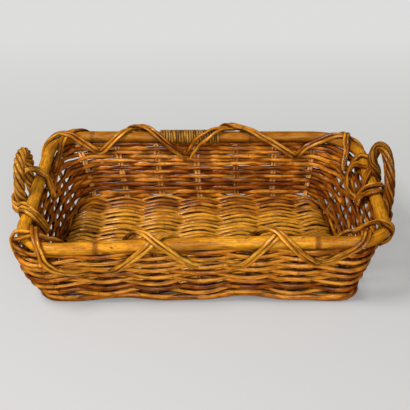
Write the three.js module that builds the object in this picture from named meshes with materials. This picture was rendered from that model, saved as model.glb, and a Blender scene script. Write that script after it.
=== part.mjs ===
// Wicker tray: cane woven on doubled stakes, a bent pole rim lashed on with paired canes, two roped handles.
// Units are millimetres, +Z is up, +X is the long way and -Y is the front.
import * as THREE from "three";

// Rim pole: size of its centre line, corner bend, height of its centre and thickness.
const RIM_LENGTH = 470;
const RIM_WIDTH = 313;
const RIM_CORNER = 48;
const RIM_HEIGHT = 105;
const POLE_D = 17;

// Wall: how far the foot lies inside the rim, and the bend of its corners at the foot.
const WALL_LEAN = 27;
const BASE_CORNER = 20;

// Back stakes: share by which they draw together up to the rim, and how far they lean along X there.
const BACK_GATHER = 0.062;
const BACK_SHIFT = -16;

// Canes: woven courses, doubled stakes, paired lashings and the fine binding of the rim splice.
const WEAVER_D = 4.8;
const STAKE_D = 4.2;
const STAKE_PITCH = 59;
const LASH_D = 4.6;
const BINDING_D = 3.2;
const PAIR_GAP = 0.6;
const ROW_GAP = 0.32;
const CLEARANCE = 0.3;
const FLOOR_GAP = 0.4;

// Rim splice on the back: where its middle is along X, its turns and the gap between turns.
const SPLICE_X = -25;
const BINDING_TURNS = 21;
const BINDING_GAP = 0.8;
const SCARF_LENGTH = 34;

// Growth rings of the pole, along X on the front and on the back.
const FRONT_RINGS = [-143, 143];
const BACK_RINGS = [-170, 92];

// Lashing: where the two pairs cross on top of the rim, and how far they reach down the wall.
const FRONT_CROSSINGS = [-76, 87];
const BACK_CROSSINGS = [-100, 50];
const LASH_DROP_OUTSIDE = 42;
const LASH_DROP_INSIDE = 15;

// Handles: middle along Y, half the spread of the legs, rise over the rim centre and reach under it.
const HANDLE_Y = -14;
const HANDLE_HALF = 31;
const HANDLE_RISE_LEFT = 57;
const HANDLE_RISE_RIGHT = 63;
const HANDLE_REACH = 38;

// Handle rope: thickness, strands, turns of its lay along the whole arch, and the core in it.
const ROPE_D = 15.5;
const ROPE_STRANDS = 7;
const ROPE_TURNS = 1.2;
const CORE_D = 7;

// Canes of the base weave, each woven back and forth.
const BASE_CANES = 5;

const GOLD = 0xc98a35;
const HONEY = 0xb5742a;
const BROWN = 0x8f5a24;

const poleR = POLE_D / 2;
const weaverR = WEAVER_D / 2;
const stakeR = STAKE_D / 2;
const lashR = LASH_D / 2;
const ropeR = ROPE_D / 2;
const rimA = RIM_LENGTH / 2;
const rimB = RIM_WIDTH / 2;
const footA = rimA - WALL_LEAN;
const footB = rimB - WALL_LEAN;
const pairHalf = (STAKE_D + PAIR_GAP) / 2;
const lean = Math.atan2(WALL_LEAN, RIM_HEIGHT);

// A weaver clears both canes of a pair when its bend reaches this far to either side.
const reach = weaverR + stakeR + CLEARANCE;
const swing = reach / (1 - (2 * pairHalf) / STAKE_PITCH) + 0.1;
const edgeSwing = reach * 1.4;
const edgeTurn = pairHalf + reach * 1.8;
const bendSize = reach * 1.5;

// Heights: middle of the base weave, the foot cane under it and the woven courses over it.
const baseZ = FLOOR_GAP + weaverR + edgeSwing;
const footR = (baseZ - stakeR - CLEARANCE) / 2;
const firstCourseZ = baseZ + bendSize;
const rimSlot = LASH_D * 1.25 + 2 * CLEARANCE;
const lastCourseZ = RIM_HEIGHT - poleR - rimSlot - weaverR;
const stakeTopZ = RIM_HEIGHT - poleR - CLEARANCE;

const group = new THREE.Group();
group.name = "wicker_tray";

// A cane's own line: stations with the direction its section calls up, and a size at each station.
class CaneLine extends THREE.Curve {
  constructor(stations) {
    super();
    this.stations = stations;
  }

  getPoint(t, target = new THREE.Vector3()) {
    const last = this.stations.length - 1;
    return target.copy(this.stations[Math.round(t * last)].point);
  }

  getSpacedPoints() {
    return this.stations.map((station) => station.point.clone());
  }

  computeFrenetFrames() {
    const frames = { tangents: [], normals: [], binormals: [] };
    const last = this.stations.length - 1;
    this.stations.forEach((station, i) => {
      const before = this.stations[Math.max(i - 1, 0)].point;
      const after = this.stations[Math.min(i + 1, last)].point;
      const tangent = new THREE.Vector3().subVectors(after, before).normalize();
      const up = station.up.clone().addScaledVector(tangent, -station.up.dot(tangent)).normalize();
      const side = new THREE.Vector3().crossVectors(up, tangent).normalize();
      const turned = new THREE.Vector3().copy(side).multiplyScalar(Math.cos(station.turn ?? 0));
      turned.addScaledVector(up, Math.sin(station.turn ?? 0));
      const raised = new THREE.Vector3().crossVectors(tangent, turned);
      const size = station.size ?? 1;
      raised.addScaledVector(tangent, station.slant ?? 0);
      frames.tangents.push(tangent);
      frames.normals.push(turned.multiplyScalar(size));
      frames.binormals.push(raised.multiplyScalar(size));
    });
    return frames;
  }
}

// A round section as a polygon, its first corner at the given angle.
function roundSection(radius, sides, start = 0) {
  const corners = [];
  for (let i = 0; i < sides; i += 1) {
    const angle = start + (2 * Math.PI * i) / sides;
    corners.push(new THREE.Vector2(radius * Math.cos(angle), radius * Math.sin(angle)));
  }
  return new THREE.Shape(corners);
}

function addCane(name, stations, section, color) {
  const line = new CaneLine(stations);
  const options = { steps: stations.length - 1, extrudePath: line, bevelEnabled: false };
  const geometry = new THREE.ExtrudeGeometry(section, options);
  const material = new THREE.MeshStandardMaterial({ color, roughness: 0.5 });
  const mesh = new THREE.Mesh(geometry, material);
  mesh.name = name;
  group.add(mesh);
}

function vec(x, y, z) {
  return new THREE.Vector3(x, y, z);
}

const UP = vec(0, 0, 1);

// Half sizes and corner bend of the wall's middle surface at a height.
function wallAt(z) {
  const share = z / RIM_HEIGHT;
  return {
    a: footA + WALL_LEAN * share,
    b: footB + WALL_LEAN * share,
    r: BASE_CORNER + (RIM_CORNER - BASE_CORNER) * share,
  };
}

// Doubled stakes: along the long sides by their X at the foot, along the ends by their Y at the foot.
const longCount = Math.floor((footA - BASE_CORNER) / STAKE_PITCH);
const longPlaces = [];
for (let i = -longCount; i <= longCount; i += 1) {
  longPlaces.push(i * STAKE_PITCH);
}
const endCount = Math.floor((footB - BASE_CORNER) / STAKE_PITCH + 0.5);
const endPlaces = [];
for (let i = 0; i < 2 * endCount; i += 1) {
  endPlaces.push((i - endCount + 0.5) * STAKE_PITCH);
}

// Where a stake stands at a height, with its outward direction and its angle into the corner.
function stakeAt(stake, z) {
  const wall = wallAt(z);
  const long = stake.side === "front" || stake.side === "back";
  const spread = long ? (stake.place * wall.a) / footA : (stake.place * wall.b) / footB;
  const back = stake.side === "back" ? z / RIM_HEIGHT : 0;
  const along = spread * (1 - BACK_GATHER * back) + BACK_SHIFT * back;
  const straight = (long ? wall.a : wall.b) - wall.r;
  const over = Math.max(Math.abs(along) - straight, 0);
  const angle = Math.asin(Math.min(over / wall.r, 1));
  const sign = Math.sign(along);
  const away = stake.side === "front" || stake.side === "left" ? -1 : 1;
  const depth = (long ? wall.b : wall.a) - wall.r + wall.r * Math.cos(angle);
  const outLong = sign * Math.sin(angle);
  const outDeep = away * Math.cos(angle);
  return {
    point: long ? vec(along, away * depth, z) : vec(away * depth, along, z),
    out: long ? vec(outLong, outDeep, 0) : vec(outDeep, outLong, 0),
    angle,
  };
}

// All stakes in order round the wall, anticlockwise seen from above, starting at the front left.
const stakes = [
  ...longPlaces.map((place) => ({ side: "front", place })),
  ...endPlaces.map((place) => ({ side: "right", place })),
  ...longPlaces.map((place) => ({ side: "back", place: -place })),
  ...endPlaces.map((place) => ({ side: "left", place: -place })),
];

// Points of the middle surface between the last stake of one side and the first of the next.
function cornerBetween(from, to, z) {
  const wall = wallAt(z);
  const start = stakeAt(from, z);
  const end = stakeAt(to, z);
  const middleSignX = Math.sign(start.point.x);
  const middleSignY = Math.sign(start.point.y);
  const centre = vec(middleSignX * (wall.a - wall.r), middleSignY * (wall.b - wall.r), z);
  const angleOf = (out) => Math.atan2(Math.abs(out.x), Math.abs(out.y));
  const first = angleOf(start.out);
  const last = angleOf(end.out);
  const points = [];
  for (const share of [0.33, 0.67]) {
    const angle = first + (last - first) * share;
    const out = vec(middleSignX * Math.sin(angle), middleSignY * Math.cos(angle), 0);
    points.push({ point: centre.clone().addScaledVector(out, wall.r), out });
  }
  return points;
}

// The line of one course round the wall. It starts and ends at one stake and eases out where it bends.
const CORNER_EASE = 0.55;
function courseLine(z, firstStake, sideOf) {
  const line = [];
  const count = stakes.length;
  const offsetOf = (index) => {
    const stake = stakes[index];
    const side = sideOf(index);
    const places = stake.side === "front" || stake.side === "back" ? longPlaces : endPlaces;
    const outermost = Math.abs(stake.place) >= places[places.length - 1];
    const bend = outermost ? pairHalf * Math.tan(stakeAt(stake, z).angle) + CORNER_EASE : 0;
    return side > 0 ? side + bend : side;
  };
  for (let i = 0; i < count; i += 1) {
    const index = (firstStake + i) % count;
    const next = (index + 1) % count;
    const here = stakeAt(stakes[index], z);
    const offset = offsetOf(index);
    line.push({ point: here.point.clone().addScaledVector(here.out, offset), up: UP });
    if (stakes[index].side !== stakes[next].side) {
      const there = stakeAt(stakes[next], z);
      const fill = cornerBetween(stakes[index], stakes[next], z);
      const path = [here, ...fill, there];
      const lengths = path.slice(1).map((spot, k) => spot.point.distanceTo(path[k].point));
      const total = lengths.reduce((sum, length) => sum + length, 0);
      let run = 0;
      fill.forEach((spot, k) => {
        run += lengths[k];
        const side = offset + ((offsetOf(next) - offset) * run) / total;
        line.push({ point: spot.point.clone().addScaledVector(spot.out, side), up: UP });
      });
    }
  }
  const start = line[0].point.clone();
  const towards = line[1].point.clone().sub(start).normalize();
  const backwards = line[line.length - 1].point.clone().sub(start).normalize();
  line[0].point.addScaledVector(towards, CLEARANCE);
  line.push({ point: start.addScaledVector(backwards, CLEARANCE), up: UP });
  return line;
}

// Foot cane with a flat underside that the tray stands on, and one course outside the stake bends.
const footSection = roundSection(footR / Math.cos(Math.PI / 6), 6, 0);
addCane("foot_cane", courseLine(footR, 3, () => stakeR), footSection, BROWN);
const diamond = roundSection(weaverR, 4, 0);
const lowCourseZ = Math.max(footR + weaverR + footR * 0.6, baseZ - stakeR);
addCane("wall_course_01", courseLine(lowCourseZ, 5, () => reach), diamond, BROWN);

// Woven courses: outside one pair, inside the next, the other way round in the course above.
const courseSteps = Math.floor((lastCourseZ - firstCourseZ) / (WEAVER_D + ROW_GAP));
const courseRise = (lastCourseZ - firstCourseZ) / courseSteps;
for (let i = 0; i <= courseSteps; i += 1) {
  const firstStake = (8 * i + (i % 2)) % stakes.length;
  const sideOf = (index) => ((index + i) % 2 === 0 ? swing : -swing);
  const name = `wall_course_${String(i + 2).padStart(2, "0")}`;
  addCane(name, courseLine(firstCourseZ + i * courseRise, firstStake, sideOf), diamond, HONEY);
}

// One leg of a stake cane up or down the wall, shifted along the wall for its place in the pair.
function wallLeg(stake, fromZ, toZ, shift, steps) {
  const leg = [];
  for (let i = 0; i <= steps; i += 1) {
    const spot = stakeAt(stake, fromZ + ((toZ - fromZ) * i) / steps);
    const along = vec(-spot.out.y, spot.out.x, 0);
    leg.push({ point: spot.point.addScaledVector(along, shift), up: spot.out });
  }
  return leg;
}

// Hairpin between the two canes of a pair, around the middle of both ends.
function hairpin(from, to, away) {
  const middle = from.point.clone().add(to.point).multiplyScalar(0.5);
  const half = from.point.clone().sub(middle);
  const tip = middle.clone().addScaledVector(away, half.length());
  const shoulder = (end) => end.clone().lerp(tip, 0.5).addScaledVector(away, half.length() * 0.2);
  const up = from.up;
  return [
    { point: shoulder(from.point), up },
    { point: tip, up },
    { point: shoulder(to.point), up },
  ];
}

// Stakes that run down the front wall, through the base and up the back wall, each a doubled cane.
const bindingPitch = BINDING_D + BINDING_GAP;
const bindingHalf = (BINDING_TURNS * bindingPitch) / 2 + BINDING_D;
const hairpinTopZ = stakeTopZ - pairHalf - stakeR;
const stakeSection = roundSection(stakeR, 4, 0);
longPlaces.forEach((place, i) => {
  const front = { side: "front", place };
  const back = { side: "back", place };
  const baseX = (place * wallAt(baseZ).a) / footA;
  const cornerY = wallAt(baseZ).b;
  const across = (shift, backZ) => {
    const bendY = cornerY - bendSize;
    const softY = cornerY - bendSize * 0.25;
    const softZ = baseZ + bendSize * 0.25;
    return [
      ...wallLeg(front, stakeTopZ, baseZ + bendSize, shift, 3),
      { point: vec(baseX + shift, -softY, softZ), up: vec(0, -1, -1) },
      { point: vec(baseX + shift, -bendY, baseZ), up: vec(0, 0, -1) },
      { point: vec(baseX + shift, bendY, baseZ), up: vec(0, 0, -1) },
      { point: vec(baseX + shift, softY, softZ), up: vec(0, 1, -1) },
      ...wallLeg(back, baseZ + bendSize, backZ, -shift, 3),
    ];
  };
  const topX = stakeAt(back, stakeTopZ).point.x;
  const underBinding = Math.abs(topX - SPLICE_X) < bindingHalf + pairHalf + stakeR;
  const topBack = hairpinTopZ - (underBinding ? BINDING_D + CLEARANCE : 0);
  const first = across(-pairHalf, topBack);
  const second = across(pairHalf, topBack).reverse();
  const tip = hairpin(first[first.length - 1], second[0], vec(0, Math.sin(lean), Math.cos(lean)));
  addCane(`long_stake_${i + 1}`, [...first, ...tip, ...second], stakeSection, BROWN);
});

// Stakes of the end walls, each a cane doubled round a hairpin that stands on the foot cane.
const endFootZ = 2 * footR + CLEARANCE + stakeR + pairHalf * 1.3;
for (const side of ["left", "right"]) {
  endPlaces.forEach((place, i) => {
    const stake = { side, place };
    const down = wallLeg(stake, stakeTopZ, endFootZ, -pairHalf, 3);
    const rise = wallLeg(stake, endFootZ, stakeTopZ, pairHalf, 3);
    const tip = hairpin(down[down.length - 1], rise[0], vec(0, 0, -1));
    addCane(`${side}_stake_${i + 1}`, [...down, ...tip, ...rise], stakeSection, BROWN);
  });
}

// Base weave: rows along X, over one stake pair and under the next, turning round the outer pairs.
const stakeXs = longPlaces.map((place) => (place * wallAt(baseZ).a) / footA);
const rowLimit = wallAt(firstCourseZ).b - swing - 2 * weaverR - 2 * CLEARANCE;
const rowCount = Math.floor((2 * rowLimit) / (WEAVER_D + ROW_GAP)) + 1;
const rowPitch = (2 * rowLimit) / (rowCount - 1);
const rowsPerCane = Math.ceil(rowCount / BASE_CANES);
const rowUp = vec(0, 1, 0);
for (let cane = 0; cane < BASE_CANES; cane += 1) {
  const line = [];
  const firstRow = cane * rowsPerCane;
  const lastRow = Math.min(firstRow + rowsPerCane, rowCount) - 1;
  for (let row = firstRow; row <= lastRow; row += 1) {
    const y = -rowLimit + row * rowPitch;
    const order = row % 2 === 0 ? stakeXs : [...stakeXs].reverse();
    order.forEach((x, k) => {
      const edge = k === 0 || k === order.length - 1;
      const out = edge ? Math.sign(x) * pairHalf * 0.85 : 0;
      const rise = edge ? edgeSwing : swing;
      const over = (k + row) % 2 === 0 ? 1 : -1;
      line.push({ point: vec(x + out, y, baseZ + over * rise), up: rowUp });
    });
    if (row < lastRow) {
      const x = order[order.length - 1];
      line.push({ point: vec(x + Math.sign(x) * edgeTurn, y + rowPitch / 2, baseZ), up: rowUp });
    }
  }
  addCane(`base_cane_${cane + 1}`, line, diamond, GOLD);
}

// Rim pole: one pole bent round, its two ends cut on a slant and laid on each other in the splice.
const CORNER_STEPS = 6;
const straightA = rimA - RIM_CORNER;
const straightB = rimB - RIM_CORNER;
const scarfSlant = SCARF_LENGTH / POLE_D;
const scarfGap = CLEARANCE * 1.2;
const rimLine = [];

function rimStation(x, y, size = 1, slant = 0) {
  rimLine.push({ point: vec(x, y, RIM_HEIGHT), up: UP, size, slant });
}

function rimCorner(signX, signY, fromAngle) {
  for (let i = 0; i <= CORNER_STEPS; i += 1) {
    const angle = fromAngle + ((Math.PI / 2) * i) / CORNER_STEPS;
    const x = signX * straightA + RIM_CORNER * Math.cos(angle);
    rimStation(x, signY * straightB + RIM_CORNER * Math.sin(angle));
  }
}

function growthRing(x, y, heading) {
  for (const [shift, size] of [[-5, 1], [0, 1.028], [5, 1]]) {
    rimStation(x + heading * shift, y, size);
  }
}

rimStation(SPLICE_X - scarfGap, rimB, 1, scarfSlant);
BACK_RINGS.filter((x) => x < SPLICE_X).reverse().forEach((x) => growthRing(x, rimB, -1));
rimCorner(-1, 1, Math.PI / 2);
rimCorner(-1, -1, Math.PI);
FRONT_RINGS.forEach((x) => growthRing(x, -rimB, 1));
rimCorner(1, -1, -Math.PI / 2);
rimCorner(1, 1, 0);
BACK_RINGS.filter((x) => x > SPLICE_X).reverse().forEach((x) => growthRing(x, rimB, -1));
rimStation(SPLICE_X + scarfGap, rimB, 1, scarfSlant);
addCane("rim_pole", rimLine, roundSection(poleR, 10, Math.PI / 10), GOLD);

// Binding of the splice: one cane wound round the pole, both ends laid straight for one diameter.
const TURN_STEPS = 10;
const bindingR = BINDING_D / 2;
const bindingWay = poleR + CLEARANCE + bindingR / Math.cos(Math.PI / TURN_STEPS);
const bindingLine = [];
for (let i = 0; i <= BINDING_TURNS * TURN_STEPS; i += 1) {
  const turns = i / TURN_STEPS;
  const angle = 2 * Math.PI * turns - Math.PI / 2;
  const out = vec(0, Math.cos(angle), Math.sin(angle));
  const x = SPLICE_X + (turns - BINDING_TURNS / 2) * bindingPitch;
  bindingLine.push({ point: vec(x, rimB, RIM_HEIGHT).addScaledVector(out, bindingWay), up: out });
}
const bindingTail = (end, heading) => ({
  point: end.point.clone().addScaledVector(vec(0, 1, 0), heading * BINDING_D),
  up: end.up,
});
bindingLine.unshift(bindingTail(bindingLine[0], -1));
bindingLine.push(bindingTail(bindingLine[bindingLine.length - 1], 1));
addCane("rim_splice_binding", bindingLine, roundSection(bindingR, 4, 0), HONEY);

let leastGap = Infinity;
bindingLine.forEach((here, i) => {
  bindingLine.slice(i + TURN_STEPS - 2).forEach((there) => {
    leastGap = Math.min(leastGap, here.point.distanceTo(there.point) - BINDING_D);
  });
});
console.log(`rim_splice_binding: least gap to itself ${leastGap.toFixed(2)} mm`);

// Lashing surface: unrolled over the rim, 0 on top of it, positive down the outside, negative inside.
const lashWay = poleR + CLEARANCE + lashR + 0.75;
const outsideArc = lashWay * (Math.PI / 2 + lean);
const insideArc = lashWay * (Math.PI / 2 - lean);
const lashPairHalf = LASH_D / 2 + PAIR_GAP;
const lashLift = (LASH_D + CLEARANCE) * 1.3;
const lashLiftRun = 6 * LASH_D;
const hopRun = lashLiftRun / 2;
const cornerCrossing = straightA + (RIM_CORNER * Math.PI) / 4;

// Place on the lashing surface as outward distance and height from the rim centre, with its normal.
function lashProfile(along, height) {
  const outside = along >= 0;
  const arc = outside ? outsideArc : insideArc;
  const bent = Math.min(Math.abs(along), arc) / lashWay;
  const angle = outside ? Math.PI / 2 - bent : Math.PI / 2 + bent;
  const down = Math.max(Math.abs(along) - arc, 0);
  const way = lashWay + height;
  return {
    out: way * Math.cos(angle) - down * Math.sin(lean),
    rise: way * Math.sin(angle) - down * Math.cos(lean),
    normalOut: Math.cos(angle),
    normalRise: Math.sin(angle),
  };
}

// A spot along the front or back rim, counted from its middle and on round the corners.
function rimSpot(deep, run) {
  const sign = Math.sign(run);
  const angle = Math.max(Math.abs(run) - straightA, 0) / RIM_CORNER;
  const out = vec(sign * Math.sin(angle), deep * Math.cos(angle), 0);
  const straight = sign * Math.min(Math.abs(run), straightA);
  const centre = vec(straight, deep * straightB, RIM_HEIGHT);
  return { point: centre.addScaledVector(out, RIM_CORNER), out };
}

function lashStation(deep, run, along, height) {
  const rim = rimSpot(deep, run);
  const place = lashProfile(along, height);
  const up = rim.out.clone().multiplyScalar(place.normalOut);
  up.z = place.normalRise;
  const point = rim.point.addScaledVector(rim.out, place.out);
  point.z += place.rise;
  return { point, up };
}

function smoothBump(distance, run) {
  return distance < run ? Math.cos((Math.PI * distance) / (2 * run)) ** 2 : 0;
}

// One cane of a lashing pair: a wave that swaps between outside and inside at each crossing.
function lashLine(deep, crossings, firstSide, upper, shift) {
  const ends = [-cornerCrossing, ...crossings, cornerCrossing];
  const firstBay = ends[1] - ends[0];
  const lastBay = ends[3] - ends[2];
  const wave = [0, 8, 17, 30, 58, 90, 122, 150, 163, 172];
  const bays = [
    { from: ends[0] - firstBay, to: ends[0], phases: [135, ...wave.slice(7)] },
    { from: ends[0], to: ends[1], phases: wave },
    { from: ends[1], to: ends[2], phases: wave },
    { from: ends[2], to: ends[3], phases: wave },
    { from: ends[3], to: ends[3] + lastBay, phases: [...wave.slice(0, 4), 45] },
  ];
  const line = [];
  bays.forEach((bay, k) => {
    const side = k % 2 === 0 ? -firstSide : firstSide;
    const drop = side > 0 ? outsideArc + LASH_DROP_OUTSIDE : insideArc + LASH_DROP_INSIDE;
    bay.phases.forEach((degrees) => {
      const phase = (degrees * Math.PI) / 180;
      const length = bay.to - bay.from;
      const slope = (side * drop * Math.cos(phase) * Math.PI) / length;
      const steep = Math.hypot(1, slope);
      const run = bay.from + (length * degrees) / 180 - (shift * slope) / steep;
      const along = side * drop * Math.sin(phase) + shift / steep;
      const nearest = Math.min(...ends.map((end) => Math.abs(run - end)));
      const overSplice = Math.abs(run - SPLICE_X) - bindingHalf;
      const hop = deep > 0 ? smoothBump(Math.max(overSplice, 0), hopRun) * (BINDING_D + CLEARANCE) : 0;
      const lift = upper ? lashLift * smoothBump(nearest, lashLiftRun) : 0;
      line.push(lashStation(deep, run, along, lift + hop));
    });
  });
  return line;
}

const lashSection = roundSection(lashR, 4, 0);
const lashSides = [["front", -1, FRONT_CROSSINGS], ["back", 1, BACK_CROSSINGS]];
for (const [name, deep, crossings] of lashSides) {
  for (const [pair, firstSide, upper] of [["a", 1, true], ["b", -1, false]]) {
    for (const [cane, shift] of [[1, -lashPairHalf], [2, lashPairHalf]]) {
      const line = lashLine(deep, crossings, firstSide, upper, shift);
      addCane(`${name}_lash_${pair}${cane}`, line, lashSection, HONEY);
    }
  }
}

// Handles: a bow of cane as core, a sleeve of twisted strands round it and a hitch on each leg.
const ARCH_STEPS = 22;
const legOut = poleR + 2 * CLEARANCE + ropeR * 1.03;
const coreR = CORE_D / 2;
const boreR = (coreR + CLEARANCE) / Math.cos(Math.PI / 5);
const hitchWay = ropeR + CLEARANCE + lashR + 0.6;
const hitchSide = hitchWay + 2;
const slopeOut = Math.tan(lean);

// A hitch goes under the rim beside a stake: on the leg's side of it, or past it where that is too tight.
const stakeRoom = pairHalf + stakeR + lashR + 2 * CLEARANCE;
function besideStake(y, legY) {
  const spread = wallAt(RIM_HEIGHT - lashWay).b / footB;
  const stakeY = endPlaces.map((place) => place * spread).find((spot) => Math.abs(spot - y) < stakeRoom);
  if (stakeY === undefined) {
    return y;
  }
  const heading = Math.sign(y - legY);
  const near = stakeY - heading * stakeRoom;
  return (near - legY) * heading >= hitchWay ? near : stakeY + heading * stakeRoom;
}

function ropeSection() {
  const corners = [];
  for (let i = 0; i < 2 * ROPE_STRANDS; i += 1) {
    const angle = (Math.PI * i) / ROPE_STRANDS;
    const radius = i % 2 === 0 ? ropeR : ropeR * 0.87;
    corners.push(new THREE.Vector2(radius * Math.cos(angle), radius * Math.sin(angle)));
  }
  const shape = new THREE.Shape(corners);
  const bore = roundSection(boreR, 6, 0).getPoints();
  shape.holes.push(new THREE.Path(bore.reverse()));
  return shape;
}

const handleSides = [["left", -1, HANDLE_RISE_LEFT], ["right", 1, HANDLE_RISE_RIGHT]];
for (const [side, away, peak] of handleSides) {
  const at = (out, y, rise) => vec(away * (rimA + out), HANDLE_Y + y, RIM_HEIGHT + rise);
  const half = [
    at(legOut - HANDLE_REACH * slopeOut, -HANDLE_HALF, -HANDLE_REACH),
    at(legOut, -HANDLE_HALF, 0),
    at(legOut + 0.05 * peak, -HANDLE_HALF, peak * 0.5),
    at(legOut + 0.06 * peak, -HANDLE_HALF * 0.62, peak * 0.9),
  ];
  const crown = at(legOut + 0.06 * peak, 0, peak);
  const mirror = half.map((point) => vec(point.x, 2 * HANDLE_Y - point.y, point.z)).reverse();
  const arch = new THREE.CatmullRomCurve3([...half, crown, ...mirror]);
  const spots = arch.getSpacedPoints(ARCH_STEPS);
  const up = vec(away, 0, 0);
  const core = spots.map((point) => ({ point, up }));
  const rope = spots.map((point, i) => ({
    point,
    up,
    turn: (2 * Math.PI * ROPE_TURNS * i) / ARCH_STEPS,
  }));
  addCane(`${side}_handle_core`, core, roundSection(coreR, 6, 0), BROWN);
  addCane(`${side}_handle_rope`, rope, ropeSection(), HONEY);

  for (const [leg, sign] of [["front", -1], ["back", 1]]) {
    const hitch = [];
    const inside = sign * (HANDLE_HALF - hitchSide);
    const legY = HANDLE_Y + sign * HANDLE_HALF;
    const outside = besideStake(legY + sign * hitchSide, legY) - HANDLE_Y;
    const onRim = (degrees, y) => {
      const angle = (degrees * Math.PI) / 180;
      const normal = vec(away * Math.cos(angle), 0, Math.sin(angle));
      hitch.push({ point: at(lashWay * Math.cos(angle), y, lashWay * Math.sin(angle)), up: normal });
    };
    const onWall = (along, y) => {
      const place = lashProfile(along, 0);
      const normal = vec(away * place.normalOut, 0, place.normalRise);
      hitch.push({ point: at(place.out, y, place.rise), up: normal });
    };
    const onLeg = (degrees, rise) => {
      const angle = (degrees * Math.PI) / 180;
      const y = sign * (HANDLE_HALF + hitchWay * Math.sin(angle));
      const normal = vec(away * Math.cos(angle), sign * Math.sin(angle), 0);
      const out = legOut + rise * slopeOut + hitchWay * Math.cos(angle);
      hitch.push({ point: at(out, y, rise), up: normal });
    };
    onWall(-insideArc - LASH_DROP_INSIDE, inside);
    onWall(-insideArc, inside);
    [135, 90, 50].forEach((degrees) => onRim(degrees, inside));
    onLeg(-78, lashWay * 0.42);
    onLeg(-38, lashWay * 0.2);
    onLeg(0, 0);
    onLeg(38, -lashWay * 0.2);
    onLeg(78, -lashWay * 0.42);
    [-50, -90, -135, -180].forEach((degrees) => onRim(degrees, outside));
    addCane(`${side}_hitch_${leg}`, hitch, lashSection, HONEY);
  }
}

// The origin is the middle of the underside of the whole tray.
const extent = new THREE.Box3().setFromObject(group);
const middle = extent.getCenter(new THREE.Vector3());
group.position.set(-middle.x, -middle.y, -extent.min.z);

export default group;
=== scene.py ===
"""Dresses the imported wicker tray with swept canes, a bent pole rim, roped handles and their finishes."""

import logging
import math
from dataclasses import dataclass, field, replace
from enum import Enum
from typing import ClassVar

import bmesh
import bpy
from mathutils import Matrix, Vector, noise


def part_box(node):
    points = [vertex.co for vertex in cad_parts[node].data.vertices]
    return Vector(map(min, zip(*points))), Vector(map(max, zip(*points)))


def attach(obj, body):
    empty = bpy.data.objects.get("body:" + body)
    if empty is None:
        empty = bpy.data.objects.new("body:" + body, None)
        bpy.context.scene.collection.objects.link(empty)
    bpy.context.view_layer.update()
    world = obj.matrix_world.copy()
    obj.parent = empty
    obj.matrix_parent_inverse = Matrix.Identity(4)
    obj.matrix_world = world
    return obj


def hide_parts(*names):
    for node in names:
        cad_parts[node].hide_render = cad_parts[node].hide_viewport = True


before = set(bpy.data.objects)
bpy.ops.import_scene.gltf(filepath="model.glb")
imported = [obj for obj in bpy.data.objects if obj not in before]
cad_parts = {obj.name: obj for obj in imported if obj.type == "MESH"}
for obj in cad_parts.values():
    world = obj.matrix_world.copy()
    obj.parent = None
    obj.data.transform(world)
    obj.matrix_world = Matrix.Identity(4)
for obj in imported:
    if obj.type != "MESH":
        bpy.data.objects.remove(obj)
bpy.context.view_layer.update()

LOG = logging.getLogger("wicker_tray")
MM = 0.001
TINY = 1e-6
TURN = 2.0 * math.pi
QUARTER = 0.5 * math.pi
UP = Vector((0.0, 0.0, 1.0))
DOWN = Vector((0.0, 0.0, -1.0))
DEEP = Vector((0.0, 1.0, 0.0))
Band = tuple[float, float]
Shares = tuple[float, ...]
Triple = tuple[float, float, float]
Colour = tuple[float, float, float]
Socket = bpy.types.NodeSocket
Dress = dict[str, bpy.types.Material]


class Side(Enum):
    """The four sides of the tray, in order round it."""

    FRONT = "front"
    RIGHT = "right"
    BACK = "back"
    LEFT = "left"


class Contact(Enum):
    """Where a cane touches its neighbours or faces down, which is where stain has gathered and shade is
    painted in.
    """

    ROWS = "rows"
    PACKED = "packed"
    UNDER = "under"
    BESIDE = "beside"
    NONE = "none"


class Hand:
    """The unevenness of hand work, smooth along a cane and the same in every run."""

    DRIFT_SIZE, DRIFT_APART, DRIFT_PLANE = 1.5, 7.31, 0.37
    KEY_TURN, PLACE_TURN, FIRST_TURN, SCATTER = 12.9898, 78.233, 1.7, 43758.5453

    @classmethod
    def drift(cls, key: float, along: float, span: float) -> float:
        """Give a cane's smooth value of about -1 to 1 at a distance along it, which changes over the span."""
        return cls.DRIFT_SIZE * noise.noise(Vector((along / span, cls.DRIFT_APART * key, cls.DRIFT_PLANE)))

    @classmethod
    def pick(cls, key: float, index: float) -> float:
        """Give a fixed value of -1 to 1 for a cane and a place on it."""
        whole = math.sin(cls.KEY_TURN * key + cls.PLACE_TURN * index + cls.FIRST_TURN) * cls.SCATTER
        return 2.0 * (whole - math.floor(whole)) - 1.0

    @classmethod
    def near(cls, stray: float, key: float, index: float) -> float:
        """Give a fixed value that strays from 1 for a cane and a place on it."""
        return 1.0 + stray * cls.pick(key, index)


@dataclass(frozen=True)
class Stray:
    """How far a value strays along a cane, and the distance over which it changes."""

    amount: float
    span: float

    def at(self, key: float, along: float) -> float:
        """Give how far the value has strayed at a distance along a cane."""
        return self.amount * Hand.drift(key, along, self.span)


def ease(value: float, low: float, high: float) -> float:
    """Rise smoothly from 0 at low to 1 at high."""
    share = min(max((value - low) / (high - low), 0.0), 1.0)
    return share * share * (3.0 - 2.0 * share)


def overlap(values: tuple[float, ...], bands: tuple[Band, ...]) -> float:
    """Multiply the eased shares of several values, each over its own band."""
    return math.prod(ease(value, *band) for value, band in zip(values, bands))


def bump(distance: float, run: float) -> float:
    """Give 1 at no distance, falling smoothly to 0 at the run."""
    return math.cos(QUARTER * distance / run) ** 2 if abs(distance) < run else 0.0


def by_side(front: float, right: float, back: float, left: float) -> dict[Side, float]:
    """Give each side of the tray its own value."""
    return dict(zip(Side, (front, right, back, left)))


def opaque(colour: Colour) -> tuple[float, ...]:
    """Give a colour with its full cover after it."""
    return (*colour, 1.0)


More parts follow.
